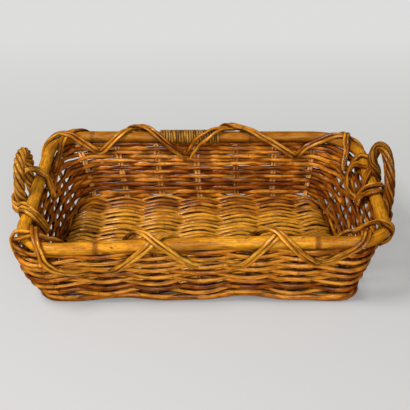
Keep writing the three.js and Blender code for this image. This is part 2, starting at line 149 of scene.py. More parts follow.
def put(name: str, data: bpy.types.ID) -> bpy.types.Object:
    """Make an object and link it to the scene.

    Args:
        name: the object's name.
        data: its mesh, lamp or camera.

    Returns:
        The object.
    """
    made = bpy.data.objects.new(name, data)
    bpy.context.scene.collection.objects.link(made)
    return made


@dataclass(frozen=True)
class Settling:
    """How the tray has settled out of true. A band is where an effect starts and where it is full."""

    rim_height: float
    foot_shift: float = -8.0
    front_band: Band = (20.0, 150.0)
    left_band: Band = (-60.0, 220.0)
    near_shift: float = -7.0
    near_drop: float = -3.5
    far_rise: float = 2.5
    belly_long: float = -17.0
    belly_deep: float = -6.0
    belly_bands: tuple[Band, ...] = ((150.0, 215.0), (60.0, 130.0), (0.0, 55.0))
    belly_top: Band = (72.0, 112.0)
    belly_loss: float = 0.75
    corner_long: float = 6.0
    corner_deep: float = 3.6
    corner_bands: tuple[Band, ...] = ((175.0, 228.0), (95.0, 146.0), (76.0, 98.0))
    far_corner: float = 8.0
    far_bands: tuple[Band, ...] = ((165.0, 225.0), (85.0, 146.0), (60.0, 98.0))
    round_long: float = 7.0
    round_deep: float = 15.0
    round_bands: tuple[Band, ...] = ((165.0, 215.0), (30.0, 135.0))
    round_top: Band = (62.0, 100.0)
    narrow_from: float = -140.0
    narrowing: float = 0.07
    narrow_most: float = 17.5
    narrow_inner: float = 0.27
    narrow_inner_band: Band = (40.0, 140.0)
    narrow_outer_band: Band = (150.0, 206.0)

    def of(self, point: Vector) -> Vector:
        """Give where a point of the true tray has settled.

        Args:
            point: the point in millimetres.

        Returns:
            The settled point.
        """
        x, y, z = point
        share = min(max(z / self.rim_height, 0.0), 1.0)
        front = ease(-y, *self.front_band) * share
        left = ease(-x, *self.left_band)
        belly = overlap((-x, -y, z), self.belly_bands) * (1.0 - self.belly_loss * ease(z, *self.belly_top))
        near = overlap((-x, -y, z), self.corner_bands)
        far = overlap((x, y, z), self.far_bands)
        rounded = overlap((abs(x), y), self.round_bands) * (1.0 - ease(z, *self.round_top))
        narrow = min(max((y - self.narrow_from) * self.narrowing, 0.0), self.narrow_most)
        inner = self.narrow_inner * ease(abs(x), *self.narrow_inner_band)
        narrow *= inner + (1.0 - self.narrow_inner) * ease(abs(x), *self.narrow_outer_band)
        long_way = (self.foot_shift - math.copysign(narrow, x)) * (1.0 - share)
        long_way += self.belly_long * belly + self.corner_long * near - self.far_corner * far
        long_way -= math.copysign(self.round_long * rounded, x)
        deep_way = self.near_shift * front * left + self.belly_deep * belly + self.corner_deep * near
        deep_way -= self.far_corner * far + self.round_deep * rounded
        rise = front * (self.near_drop * left + self.far_rise * (1.0 - left))
        return Vector((x + long_way, y + deep_way, z + rise))


@dataclass
class Knot:
    """A place on a cane: its point, the way its section calls up, and how it is there."""

    point: Vector
    up: Vector
    thick: float = 1.0
    # Stain and painted shade: real stain on scars and rings, painted shade where the cane dips under others,
    # hides behind rows or meets the end walls.
    stain_and_shade: float = 0.0
    ring: float = 0.0
    tone: float = 0.0


def curve_point(before: Vector, start: Vector, end: Vector, after: Vector, share: float) -> Vector:
    """Give a point between start and end on the smooth curve that also passes its two neighbours.

    Args:
        before: the point in front of the start.
        start: where the stretch starts.
        end: where it ends.
        after: the point behind the end.
        share: place on the stretch, 0 to 1.

    Returns:
        The point.
    """
    first = max((start - before).length, TINY) ** 0.5
    span = max((end - start).length, TINY) ** 0.5
    last = max((after - end).length, TINY) ** 0.5
    begin = first
    stop = first + span
    close = stop + last
    now = begin + share * span
    one = before.lerp(start, now / begin)
    two = start.lerp(end, (now - begin) / span)
    three = end.lerp(after, (now - stop) / last)
    near = one.lerp(two, now / stop)
    far = two.lerp(three, (now - begin) / (close - begin))
    return near.lerp(far, (now - begin) / span)


@dataclass
class Route:
    """The smoothly bent way of a cane through its knots, closed or open, and thinner between them."""

    knots: list[Knot]
    closed: bool = False
    pinch: float = 0.0

    def knot(self, index: int) -> Knot:
        """Give the knot of an index, past either end as well.

        Args:
            index: number of the knot, which may lie outside the list.

        Returns:
            The knot there, led round on a closed route and led on straight on an open one.
        """
        count = len(self.knots)
        if self.closed:
            return self.knots[index % count]
        if 0 <= index < count:
            return self.knots[index]
        end, inner = self.knots[:2] if index < 0 else self.knots[:-3:-1]
        return Knot(end.point * 2.0 - inner.point, end.up)

    def stations(self, step: float) -> list[Knot]:
        """Walk the route in about even steps.

        Args:
            step: the wanted distance between stations.

        Returns:
            The stations, with the knots' other values led from one to the next.
        """
        stations: list[Knot] = []
        stretches = len(self.knots) - (0 if self.closed else 1)
        for index in range(stretches):
            reach = (self.knot(index + 1).point - self.knot(index).point).length
            pieces = max(2, math.ceil(reach / step))
            stations += [self.between(index, piece / pieces) for piece in range(pieces)]
        stations.append(self.between(stretches - 1, 1.0))
        return stations

    def between(self, index: int, share: float) -> Knot:
        """Give the station between a knot and the next.

        Args:
            index: number of the knot.
            share: place between the two, 0 to 1.

        Returns:
            The station.
        """
        near, far = self.knot(index), self.knot(index + 1)
        points = [self.knot(index + shift).point for shift in (-1, 0, 1, 2)]
        up = near.up.lerp(far.up, share)
        thick = near.thick + (far.thick - near.thick) * share
        return Knot(
            point=curve_point(*points, share),
            up=up.normalized() if up.length > TINY else near.up.copy(),
            thick=thick * (1.0 - self.pinch * math.sin(math.pi * share)),
            stain_and_shade=near.stain_and_shade + (far.stain_and_shade - near.stain_and_shade) * share,
            ring=near.ring + (far.ring - near.ring) * share,
            tone=near.tone + (far.tone - near.tone) * share,
        )


def frames(stations: list[Knot]) -> list[tuple[Vector, Vector]]:
    """Give the sideways and raised directions of a cane's section at each station.

    Args:
        stations: the stations along the cane.

    Returns:
        One pair of directions for each station.
    """
    pairs = []
    last = len(stations) - 1
    for index, station in enumerate(stations):
        ahead = stations[min(index + 1, last)].point
        behind = stations[max(index - 1, 0)].point
        tangent = (ahead - behind).normalized()
        side = station.up.cross(tangent).normalized()
        pairs.append((side, tangent.cross(side).normalized()))
    return pairs


def beside(stations: list[Knot], shift: float) -> list[Knot]:
    """Lay a second cane beside a route.

    Args:
        stations: the stations of the route.
        shift: distance to the side.

    Returns:
        The stations of the cane beside it.
    """
    moved = []
    for station, (side, _) in zip(stations, frames(stations)):
        moved.append(replace(station, point=station.point + side * shift))
    return moved


@dataclass(frozen=True)
class Gauge:
    """A cane's section: half its width, half its depth and its number of sides."""

    half_width: float
    half_depth: float
    sides: int = 10


@dataclass
class NodeBoard:
    """A node tree with short ways to add nodes and to link them."""

    tree: bpy.types.NodeTree

    @classmethod
    def fresh(cls, owner: bpy.types.ID) -> "NodeBoard":
        """Empty the node tree of a material or a world.

        Args:
            owner: the material or the world.

        Returns:
            A board on its tree.
        """
        owner.use_nodes = True
        owner.node_tree.nodes.clear()
        return cls(owner.node_tree)

    def add(self, kind: str, **inputs: object) -> bpy.types.Node:
        """Add a node and set or link its inputs by name.

        Args:
            kind: the node's type.
            **inputs: values or sockets, with _ for a space in an input's name.

        Returns:
            The node.
        """
        node = self.tree.nodes.new(kind)
        for name, value in inputs.items():
            self.feed(node.inputs[name.replace("_", " ")], value)
        return node

    def feed(self, target: Socket, value: object) -> None:
        """Link a socket to an input, or set the input's own value.

        Args:
            target: the input.
            value: a socket or a plain value.
        """
        if isinstance(value, Socket):
            self.tree.links.new(value, target)
        else:
            target.default_value = value

    def sum(self, operation: str, *values: object) -> Socket:
        """Add a Math node.

        Args:
            operation: the operation's name.
            *values: its values or sockets, in order.

        Returns:
            The result.
        """
        node = self.tree.nodes.new("ShaderNodeMath")
        node.operation = operation
        for target, value in zip(node.inputs, values):
            self.feed(target, value)
        return node.outputs[0]

    def mix(self, share: object, first: object, second: object) -> Socket:
        """Add a colour Mix node.

        Args:
            share: how much of the second colour shows.
            first: the first colour.
            second: the second colour.

        Returns:
            The mixed colour.
        """
        node = self.tree.nodes.new("ShaderNodeMix")
        node.data_type = "RGBA"
        self.feed(node.inputs[0], share)
        self.feed(node.inputs[6], first)
        self.feed(node.inputs[7], second)
        return node.outputs[2]

    def blend(self, share: object, first: object, second: object) -> Socket:
        """Add a Mix Shader node.

        Args:
            share: how much of the second shader shows.
            first: the first shader.
            second: the second shader.

        Returns:
            The mixed shader.
        """
        node = self.tree.nodes.new("ShaderNodeMixShader")
        for target, value in zip(node.inputs, (share, first, second)):
            self.feed(target, value)
        return node.outputs[0]

    def spread(self, value: object, low: float, high: float) -> Socket:
        """Spread a value so that low becomes 0 and high becomes 1, and hold it there."""
        node = self.add("ShaderNodeMapRange", Value=value, From_Min=low, From_Max=high)
        return node.outputs["Result"]

    def cloud(self, grain: object, across: float, along: float, detail: float = 2.0) -> Socket:
        """Add a Noise texture that is drawn out along the grain.

        Args:
            grain: the grain, whose last part runs along the cane.
            across: how fine the noise is across the grain.
            along: how fine it is along the grain.
            detail: how many finer layers it has.

        Returns:
            Its value.
        """
        drawn = self.tree.nodes.new("ShaderNodeVectorMath")
        drawn.operation = "MULTIPLY"
        self.feed(drawn.inputs[0], grain)
        drawn.inputs[1].default_value = (across, across, along)
        cloud = self.add("ShaderNodeTexNoise", Vector=drawn.outputs[0], Scale=1.0, Detail=detail)
        return cloud.outputs["Fac"]


@dataclass(frozen=True)
class Flecks:
    """A pattern of marks on the grain: how fine it is both ways, its layers, and which of its values show."""

    across: float
    along: float
    detail: float
    low: float
    high: float

    def draw(self, board: NodeBoard, grain: Socket) -> Socket:
        """Draw the marks on the grain, as a share of 0 to 1."""
        return board.spread(board.cloud(grain, self.across, self.along, self.detail), self.low, self.high)


class CaneSkin:
    """The shared look of cane under old varnish: streaks, patches, joints, specks, stain, and painted shade
    where canes touch or are covered.
    """

    COLOURS = ("Pale", "Body", "Deep", "Soil_and_shade", "Bare")
    AMOUNTS = (
        "Streaks", "Lines", "Wornness", "Patches", "Soiling_and_shading", "Dullness", "Joints", "Mottling", "Varnish",
    )
    SOCKETS = (
        ("INPUT", "NodeSocketVector", ("Grain",)),
        ("INPUT", "NodeSocketColor", ("Wear_and_shade", *COLOURS)),
        ("INPUT", "NodeSocketFloat", AMOUNTS),
        ("OUTPUT", "NodeSocketColor", ("Colour",)),
        ("OUTPUT", "NodeSocketFloat", ("Roughness", "Coat", "Height")),
    )
    STREAK = Flecks(across=520.0, along=13.0, detail=3.0, low=0.36, high=0.64)
    PATCH = Flecks(across=150.0, along=46.0, detail=3.0, low=0.44, high=0.60)
    WORN = Flecks(across=150.0, along=21.0, detail=3.0, low=0.56, high=0.70)
    LINE = Flecks(across=800.0, along=18.0, detail=2.0, low=0.56, high=0.66)
    SPECK = Flecks(across=800.0, along=330.0, detail=1.0, low=0.64, high=0.72)
    MOTTLE = Flecks(across=430.0, along=95.0, detail=2.0, low=0.48, high=0.66)
    FIBRE_ACROSS, FIBRE_ALONG = 2600.0, 60.0
    LUMP_ACROSS, LUMP_ALONG = 620.0, 170.0
    JOINTS_PER_METRE = 9.0
    JOINT_EDGE, JOINT_HEART = 0.012, 0.004
    MIDDLE_TONE, DARKEST_TONE = 0.5, 1.35
    AGED_BY_TONE, AGED_ALWAYS = 0.7, 0.45
    GRIME_BY_PATCH, GRIME_ALWAYS = 0.5, 0.6
    SPECK_SHARE = 0.6
    DULL_FIBRE, DULL_GRIME = 0.22, 0.25
    STREAK_HEIGHT, FIBRE_HEIGHT, LUMP_HEIGHT, JOINT_DEPTH = 0.45, 0.4, 0.9, 0.9

    def __init__(self) -> None:
        """Make the group's tree with its sockets and nodes."""
        self.tree = bpy.data.node_groups.new("cane_skin", "ShaderNodeTree")
        for way, kind, names in self.SOCKETS:
            for name in names:
                self.tree.interface.new_socket(name=name, in_out=way, socket_type=kind)
        self.draw()

    def joint(self, board: NodeBoard, grain: Socket) -> Socket:
        """Draw the joints that cross a cane here and there.

        Args:
            board: the group's board.
            grain: the grain of the cane.

        Returns:
            The joints, as a share of 0 to 1.
        """
        along = board.add("ShaderNodeSeparateXYZ", Vector=grain).outputs["Z"]
        cells = board.tree.nodes.new("ShaderNodeTexVoronoi")
        cells.voronoi_dimensions = "1D"
        cells.feature = "DISTANCE_TO_EDGE"
        board.feed(cells.inputs["W"], board.sum("MULTIPLY", along, self.JOINTS_PER_METRE))
        board.feed(cells.inputs["Scale"], 1.0)
        return board.spread(cells.outputs["Distance"], self.JOINT_EDGE, self.JOINT_HEART)

    def draw(self) -> None:
        """Add the nodes between the group's inputs and outputs."""
        board = NodeBoard(self.tree)
        given = board.add("NodeGroupInput").outputs
        grain = given["Grain"]
        wear_and_shade = board.add("ShaderNodeSeparateColor", Color=given["Wear_and_shade"]).outputs
        # Red is tone, random and partly painted shade and light; green is stain and painted shade where canes
        # touch, dip under or are hidden; blue marks rings.
        tone, stain_and_shade, ring = wear_and_shade["Red"], wear_and_shade["Green"], wear_and_shade["Blue"]
        streak, patch = self.STREAK.draw(board, grain), self.PATCH.draw(board, grain)
        fibre = board.cloud(grain, self.FIBRE_ACROSS, self.FIBRE_ALONG)
        lump = board.cloud(grain, self.LUMP_ACROSS, self.LUMP_ALONG)
        cut = board.sum("MULTIPLY", self.joint(board, grain), given["Joints"])
        mottle = board.sum("MULTIPLY", self.MOTTLE.draw(board, grain), given["Mottling"])
        worn = board.sum("MULTIPLY", self.WORN.draw(board, grain), given["Wornness"])
        line = board.sum("MULTIPLY", self.LINE.draw(board, grain), given["Lines"])
        speck = board.sum("MULTIPLY", self.SPECK.draw(board, grain), self.SPECK_SHARE)
        aged = board.sum("MULTIPLY_ADD", tone, self.AGED_BY_TONE, self.AGED_ALWAYS)
        aged = board.sum("MULTIPLY", aged, board.sum("MULTIPLY", patch, given["Patches"]))
        # The darkening share: real stain plus painted shade where canes touch or are covered, broken up by
        # the patches.
        shade_and_grime = board.sum("MULTIPLY_ADD", patch, self.GRIME_BY_PATCH, self.GRIME_ALWAYS)
        shade_and_grime = board.sum("MULTIPLY", shade_and_grime, board.sum("MULTIPLY", stain_and_shade, given["Soiling_and_shading"]))
        shade_and_grime = board.spread(shade_and_grime, 0.0, 1.0)

        lit = board.sum("ADD", streak, board.sum("SUBTRACT", self.MIDDLE_TONE, tone))
        lit = board.sum("MULTIPLY", lit, given["Streaks"])
        colour = board.mix(board.spread(lit, 0.0, 1.0), given["Body"], given["Pale"])
        layers = (
            (board.spread(tone, self.MIDDLE_TONE, self.DARKEST_TONE), "Deep"),
            (aged, "Deep"),
            (mottle, "Deep"),
            (board.sum("MAXIMUM", cut, ring), "Deep"),
            (worn, "Bare"),
            (board.sum("MAXIMUM", speck, line), "Soil_and_shade"),
            # Mix in the darkest colour as painted shade and stain.
            (shade_and_grime, "Soil_and_shade"),
        )
        for share, over in layers:
            colour = board.mix(share, colour, given[over])

        dull = board.sum("MULTIPLY_ADD", fibre, self.DULL_FIBRE, given["Dullness"])
        dull = board.sum("MULTIPLY_ADD", shade_and_grime, self.DULL_GRIME, dull)
        height = board.sum("MULTIPLY", streak, self.STREAK_HEIGHT)
        for relief, share in ((fibre, self.FIBRE_HEIGHT), (lump, self.LUMP_HEIGHT), (cut, -self.JOINT_DEPTH)):
            height = board.sum("MULTIPLY_ADD", relief, share, height)
        coat = board.sum("MULTIPLY", given["Varnish"], board.sum("SUBTRACT", 1.0, shade_and_grime))
        board.add("NodeGroupOutput", Colour=colour, Roughness=dull, Coat=coat, Height=height)


@dataclass(frozen=True)
class CaneFinish:
    """One finish of cane or pole: its colours, its grain, and how dull and how varnished it is."""

    name: str
    pale: Colour
    body: Colour
    deep: Colour
    # The darkest colour: dirt, specks, and painted shade between and under canes.
    soil_and_shade: Colour = (0.022, 0.006, 0.0015)
    bare: Colour = (0.48, 0.25, 0.06)
    streaks: float = 0.75
    lines: float = 0.6
    wornness: float = 0.24
    patches: float = 0.7
    # How strongly stain and painted shade darken the cane.
    soiling_and_shading: float = 0.9
    dullness: float = 0.3
    varnish: float = 0.5
    varnish_blur: float = 0.12
    mottling: float = 0.5
    joints: float = 0.4
    relief: float = 0.0005
    relief_strength: float = 0.6
    sheen: float = 0.05

    def material(self, skin: CaneSkin) -> bpy.types.Material:
        """Make the finish's material.

        Args:
            skin: the shared look that it is drawn with.

        Returns:
            The material.
        """
        material = bpy.data.materials.new(self.name)
        board = NodeBoard.fresh(material)
        look = board.tree.nodes.new("ShaderNodeGroup")
        look.node_tree = skin.tree
        # The second layer carries tone, stain and painted shade, and ring marks.
        for layer, part in (("grain", "Vector"), ("wear_and_shade", "Color")):
            marks = board.tree.nodes.new("ShaderNodeAttribute")
            marks.attribute_name = layer
            board.feed(look.inputs[layer.capitalize()], marks.outputs[part])
        for name in CaneSkin.COLOURS:
            board.feed(look.inputs[name], opaque(getattr(self, name.lower())))
        for name in CaneSkin.AMOUNTS:
            board.feed(look.inputs[name], getattr(self, name.lower()))
        relief = board.add(
            "ShaderNodeBump",
            Strength=self.relief_strength,
            Distance=self.relief,
            Height=look.outputs["Height"],
        )
        shader = board.add(
            "ShaderNodeBsdfPrincipled",
            Base_Color=look.outputs["Colour"],
            Roughness=look.outputs["Roughness"],
            Normal=relief.outputs["Normal"],
            Specular_IOR_Level=self.sheen,
            Coat_Weight=look.outputs["Coat"],
            Coat_Roughness=self.varnish_blur,
        )
        board.add("ShaderNodeOutputMaterial", Surface=shader.outputs["BSDF"])
        return material


class CanePiece:
    """One piece that canes are swept into, with the grain, and the wear and painted shade, that its finish
    reads.
    """

    # These three are the same for all pieces, and main sets them.
    settling: ClassVar[Settling]
    dress: ClassVar[Dress]
    shift_y: ClassVar[float]
    rows_band: Band = (0.45, 0.95)
    packed_band: Band = (0.62, 1.0)
    beside_band: Band = (0.62, 1.0)
    seat_band: Band = (-0.1, 0.7)
    under_band: Band = (-0.2, 0.8)
    grain_apart: float = 731.0
    tone_place: float = 5.0
    weld: float = 1e-7

    def __init__(self, node: str) -> None:
        """Start an empty mesh for the piece that stands for a node.

        Args:
            node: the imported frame's node.
        """
        self.node = node
        self.mesh = bmesh.new()
        self.grain = self.mesh.verts.layers.float_vector.new("grain")
        # Colour layer: red is tone, random and partly painted shade and light; green is stain and painted
        # shade; blue marks growth rings.
        self.wear_and_shade = self.mesh.verts.layers.float_color.new("wear_and_shade")

    def sweep(self, stations: list[Knot], gauge: Gauge, contact: Contact, key: float) -> "CanePiece":
        """Roll a grid into a cane along the stations and close its ends.

        Args:
            stations: the cane's stations, in millimetres.
            gauge: its section.
            contact: where its neighbours touch it.
            key: its number, which sets its own tone and grain.

        Returns:
            The piece itself.
        """
        stations = [replace(station, point=self.settling.of(station.point)) for station in stations]
        rows = len(stations) - 1
        sides = gauge.sides
        made = bmesh.ops.create_grid(self.mesh, x_segments=sides, y_segments=rows, size=1.0)
        directions = frames(stations)
        travelled = [0.0]
        for near, far in zip(stations, stations[1:]):
            travelled.append(travelled[-1] + (far.point - near.point).length)
        tone = 0.5 + 0.5 * Hand.pick(key, self.tone_place)
        start = self.grain_apart * key
        seam = []
        for vert in made["verts"]:
            turn = round((vert.co.x + 1.0) / 2.0 * sides)
            row = round((vert.co.y + 1.0) / 2.0 * rows)
            station = stations[row]
            side, raised = directions[row]
            across, height = math.cos(TURN * turn / sides), math.sin(TURN * turn / sides)
            wide = gauge.half_width * station.thick * across
            deep = gauge.half_depth * station.thick * height
            point = station.point + side * wide + raised * deep
            vert.co = Vector((point.x, point.y + self.shift_y, point.z)) * MM
            vert[self.grain] = Vector((wide, deep, travelled[row] + start)) * MM
            # Stain and painted shade: darker where neighbours touch or cover the section, added to what the
            # stations carry.
            stain_and_shade = station.stain_and_shade + self.stain_and_shade_at(contact, across, height)
            shade = min(max(tone + station.tone, 0.0), 1.0)
            vert[self.wear_and_shade] = (shade, min(max(stain_and_shade, 0.0), 1.0), station.ring, 1.0)
            if turn in (0, sides):
                seam.append(vert)
        bmesh.ops.remove_doubles(self.mesh, verts=seam, dist=self.weld)
        rims = [edge for edge in self.mesh.edges if edge.is_boundary]
        bmesh.ops.holes_fill(self.mesh, edges=rims, sides=0)
        return self

    def stain_and_shade_at(self, contact: Contact, across: float, height: float) -> float:
        """Tell how much stain, and painted shade where neighbours touch or cover it, lies at a place of the
        section.

        Args:
            contact: where the neighbours touch.
            across: from -1 at one side of the section to 1 at the other.
            height: from -1 at the section's underside to 1 at its top.

        Returns:
            A share of 0 to 1.
        """
        # ROWS and PACKED darken the top and bottom where rows touch, BESIDE the sides and underside, UNDER
        # the underside: painted shade, with some real stain.
        if contact is Contact.ROWS:
            return ease(abs(height), *self.rows_band)
        if contact is Contact.BESIDE:
            return max(ease(abs(across), *self.beside_band), ease(-height, *self.seat_band))
        if contact is Contact.PACKED:
            return ease(abs(height), *self.packed_band)
        if contact is Contact.UNDER:
            return ease(-height, *self.under_band)
        return 0.0

    def place(self, slot: str) -> None:
        """Make the piece's object, dress it and set it in the frame.

        Args:
            slot: the record's material slot.
        """
        bmesh.ops.recalc_face_normals(self.mesh, faces=self.mesh.faces[:])
        for face in self.mesh.faces:
            face.smooth = len(face.verts) == 4
        name = f"{self.node}_cane"
        mesh = bpy.data.meshes.new(name)
        self.mesh.to_mesh(mesh)
        self.mesh.free()
        mesh.materials.append(self.dress[slot])
        piece = put(name, mesh)
        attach(piece, "root")
        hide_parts(self.node)
        LOG.info("%s: %d faces, slot %s", name, len(mesh.polygons), slot)


@dataclass(frozen=True)
class Ring:
    """Half sizes and corner bend of the wall's middle surface at one height."""

    half_long: float
    half_deep: float
    corner: float


@dataclass(frozen=True)
class Stake:
    """A doubled stake: the side it stands on and its place along that side at the foot."""

    side: Side
    place: float

    @property
    def on_long_side(self) -> bool:
        """Whether it stands on the front or the back."""
        return self.side in (Side.FRONT, Side.BACK)


@dataclass(frozen=True)
class Spot:
    """A place on the wall's middle surface and the way out of it."""

    point: Vector
    out: Vector


@dataclass
class TrayWall:
    """The sizes of the tray in millimetres, and the wall that its canes are woven on."""

    rim_length: float = 470.0
    rim_width: float = 313.0
    rim_corner: float = 48.0
    rim_height: float = 105.0
    pole: float = 17.0
    wall_lean: float = 27.0
    base_corner: float = 20.0
    back_gather: float = 0.062
    back_shift: float = -16.0
    weaver: float = 4.8
    stake: float = 4.2
    stake_pitch: float = 59.0
    lash: float = 4.6
    binding: float = 3.2
    pair_gap: float = 0.6
    row_gap: float = 0.32
    clearance: float = 0.3
    floor_gap: float = 0.4
    swing_slack: float = 0.1
    edge_swing_share: float = 1.4
    bend_share: float = 1.5
    lash_slot_share: float = 1.25

    def __post_init__(self) -> None:
        """Work out the sizes that follow from the others, and set the stakes."""
        self.rim_a = self.rim_length / 2.0
        self.rim_b = self.rim_width / 2.0
        self.straight = self.rim_a - self.rim_corner
        self.foot_a = self.rim_a - self.wall_lean
        self.foot_b = self.rim_b - self.wall_lean
        self.pair_half = (self.stake + self.pair_gap) / 2.0
        self.lean = math.atan2(self.wall_lean, self.rim_height)
        self.reach = (self.weaver + self.stake) / 2.0 + self.clearance
        self.swing = self.reach / (1.0 - 2.0 * self.pair_half / self.stake_pitch) + self.swing_slack
        self.bend = self.reach * self.bend_share
        self.base_z = self.floor_gap + self.weaver / 2.0 + self.reach * self.edge_swing_share
        self.foot_r = (self.base_z - self.stake / 2.0 - self.clearance) / 2.0
        self.first_z = self.base_z + self.bend
        slot = self.lash * self.lash_slot_share + 2.0 * self.clearance
        self.last_z = self.rim_height - self.pole / 2.0 - slot - self.weaver / 2.0
        self.stake_top = self.rim_height - self.pole / 2.0 - self.clearance
        long_count = math.floor((self.foot_a - self.base_corner) / self.stake_pitch)
        self.long_places = [index * self.stake_pitch for index in range(-long_count, long_count + 1)]
        end_count = math.floor((self.foot_b - self.base_corner) / self.stake_pitch + 0.5)
        self.end_places = [(index - end_count + 0.5) * self.stake_pitch for index in range(2 * end_count)]
        self.stakes = [Stake(Side.FRONT, place) for place in self.long_places]
        self.stakes += [Stake(Side.RIGHT, place) for place in self.end_places]
        self.stakes += [Stake(Side.BACK, -place) for place in self.long_places]
        self.stakes += [Stake(Side.LEFT, -place) for place in self.end_places]

    def ring_at(self, height: float) -> Ring:
        """Give the wall's ring at a height.

        Args:
            height: millimetres over the floor.

        Returns:
            The ring.
        """
        share = height / self.rim_height
        corner = self.base_corner + (self.rim_corner - self.base_corner) * share
        return Ring(self.foot_a + self.wall_lean * share, self.foot_b + self.wall_lean * share, corner)

    def stake_at(self, stake: Stake, height: float) -> Spot:
        """Give where a stake stands at a height.

        Args:
            stake: the stake.
            height: millimetres over the floor.

        Returns:
            The spot on the wall's middle surface.
        """
        ring = self.ring_at(height)
        if stake.on_long_side:
            half, across, foot = ring.half_long, ring.half_deep, self.foot_a
        else:
            half, across, foot = ring.half_deep, ring.half_long, self.foot_b
        back = height / self.rim_height if stake.side is Side.BACK else 0.0
        along = stake.place * half / foot * (1.0 - self.back_gather * back) + self.back_shift * back
        over = max(abs(along) - (half - ring.corner), 0.0)
        angle = math.asin(min(over / ring.corner, 1.0))
        away = -1.0 if stake.side in (Side.FRONT, Side.LEFT) else 1.0
        depth = across - ring.corner + ring.corner * math.cos(angle)
        out_along = math.copysign(math.sin(angle), along)
        out_across = away * math.cos(angle)
        if stake.on_long_side:
            return Spot(Vector((along, away * depth, height)), Vector((out_along, out_across, 0.0)))
        return Spot(Vector((away * depth, along, height)), Vector((out_across, out_along, 0.0)))

    def corner_between(self, start: Stake, end: Stake, height: float, shares: Shares) -> list[Spot]:
        """Give spots round the corner between the last stake of one side and the first of the next.

        Args:
            start: the stake in front of the corner.
            end: the stake behind it.
            height: millimetres over the floor.
            shares: places round the corner, 0 to 1.

        Returns:
            The spots.
        """
        ring = self.ring_at(height)
        first, last = self.stake_at(start, height), self.stake_at(end, height)
        sign_x = math.copysign(1.0, first.point.x)
        sign_y = math.copysign(1.0, first.point.y)
        long_way, deep_way = ring.half_long - ring.corner, ring.half_deep - ring.corner
        centre = Vector((sign_x * long_way, sign_y * deep_way, height))
        begin = math.atan2(abs(first.out.x), abs(first.out.y))
        stop = math.atan2(abs(last.out.x), abs(last.out.y))
        spots = []
        for share in shares:
            angle = begin + (stop - begin) * share
            out = Vector((sign_x * math.sin(angle), sign_y * math.cos(angle), 0.0))
            spots.append(Spot(centre + out * ring.corner, out))
        return spots


@dataclass(frozen=True)
class FootArch:
    """A stretch of the front that stands clear of the floor: its middle, its half length and its rise."""

    middle: float
    half: float
    rise: float

    def at(self, x: float) -> float:
        """Give how far the foot is raised at a place along the front."""
        return self.rise * bump(x - self.middle, self.half)


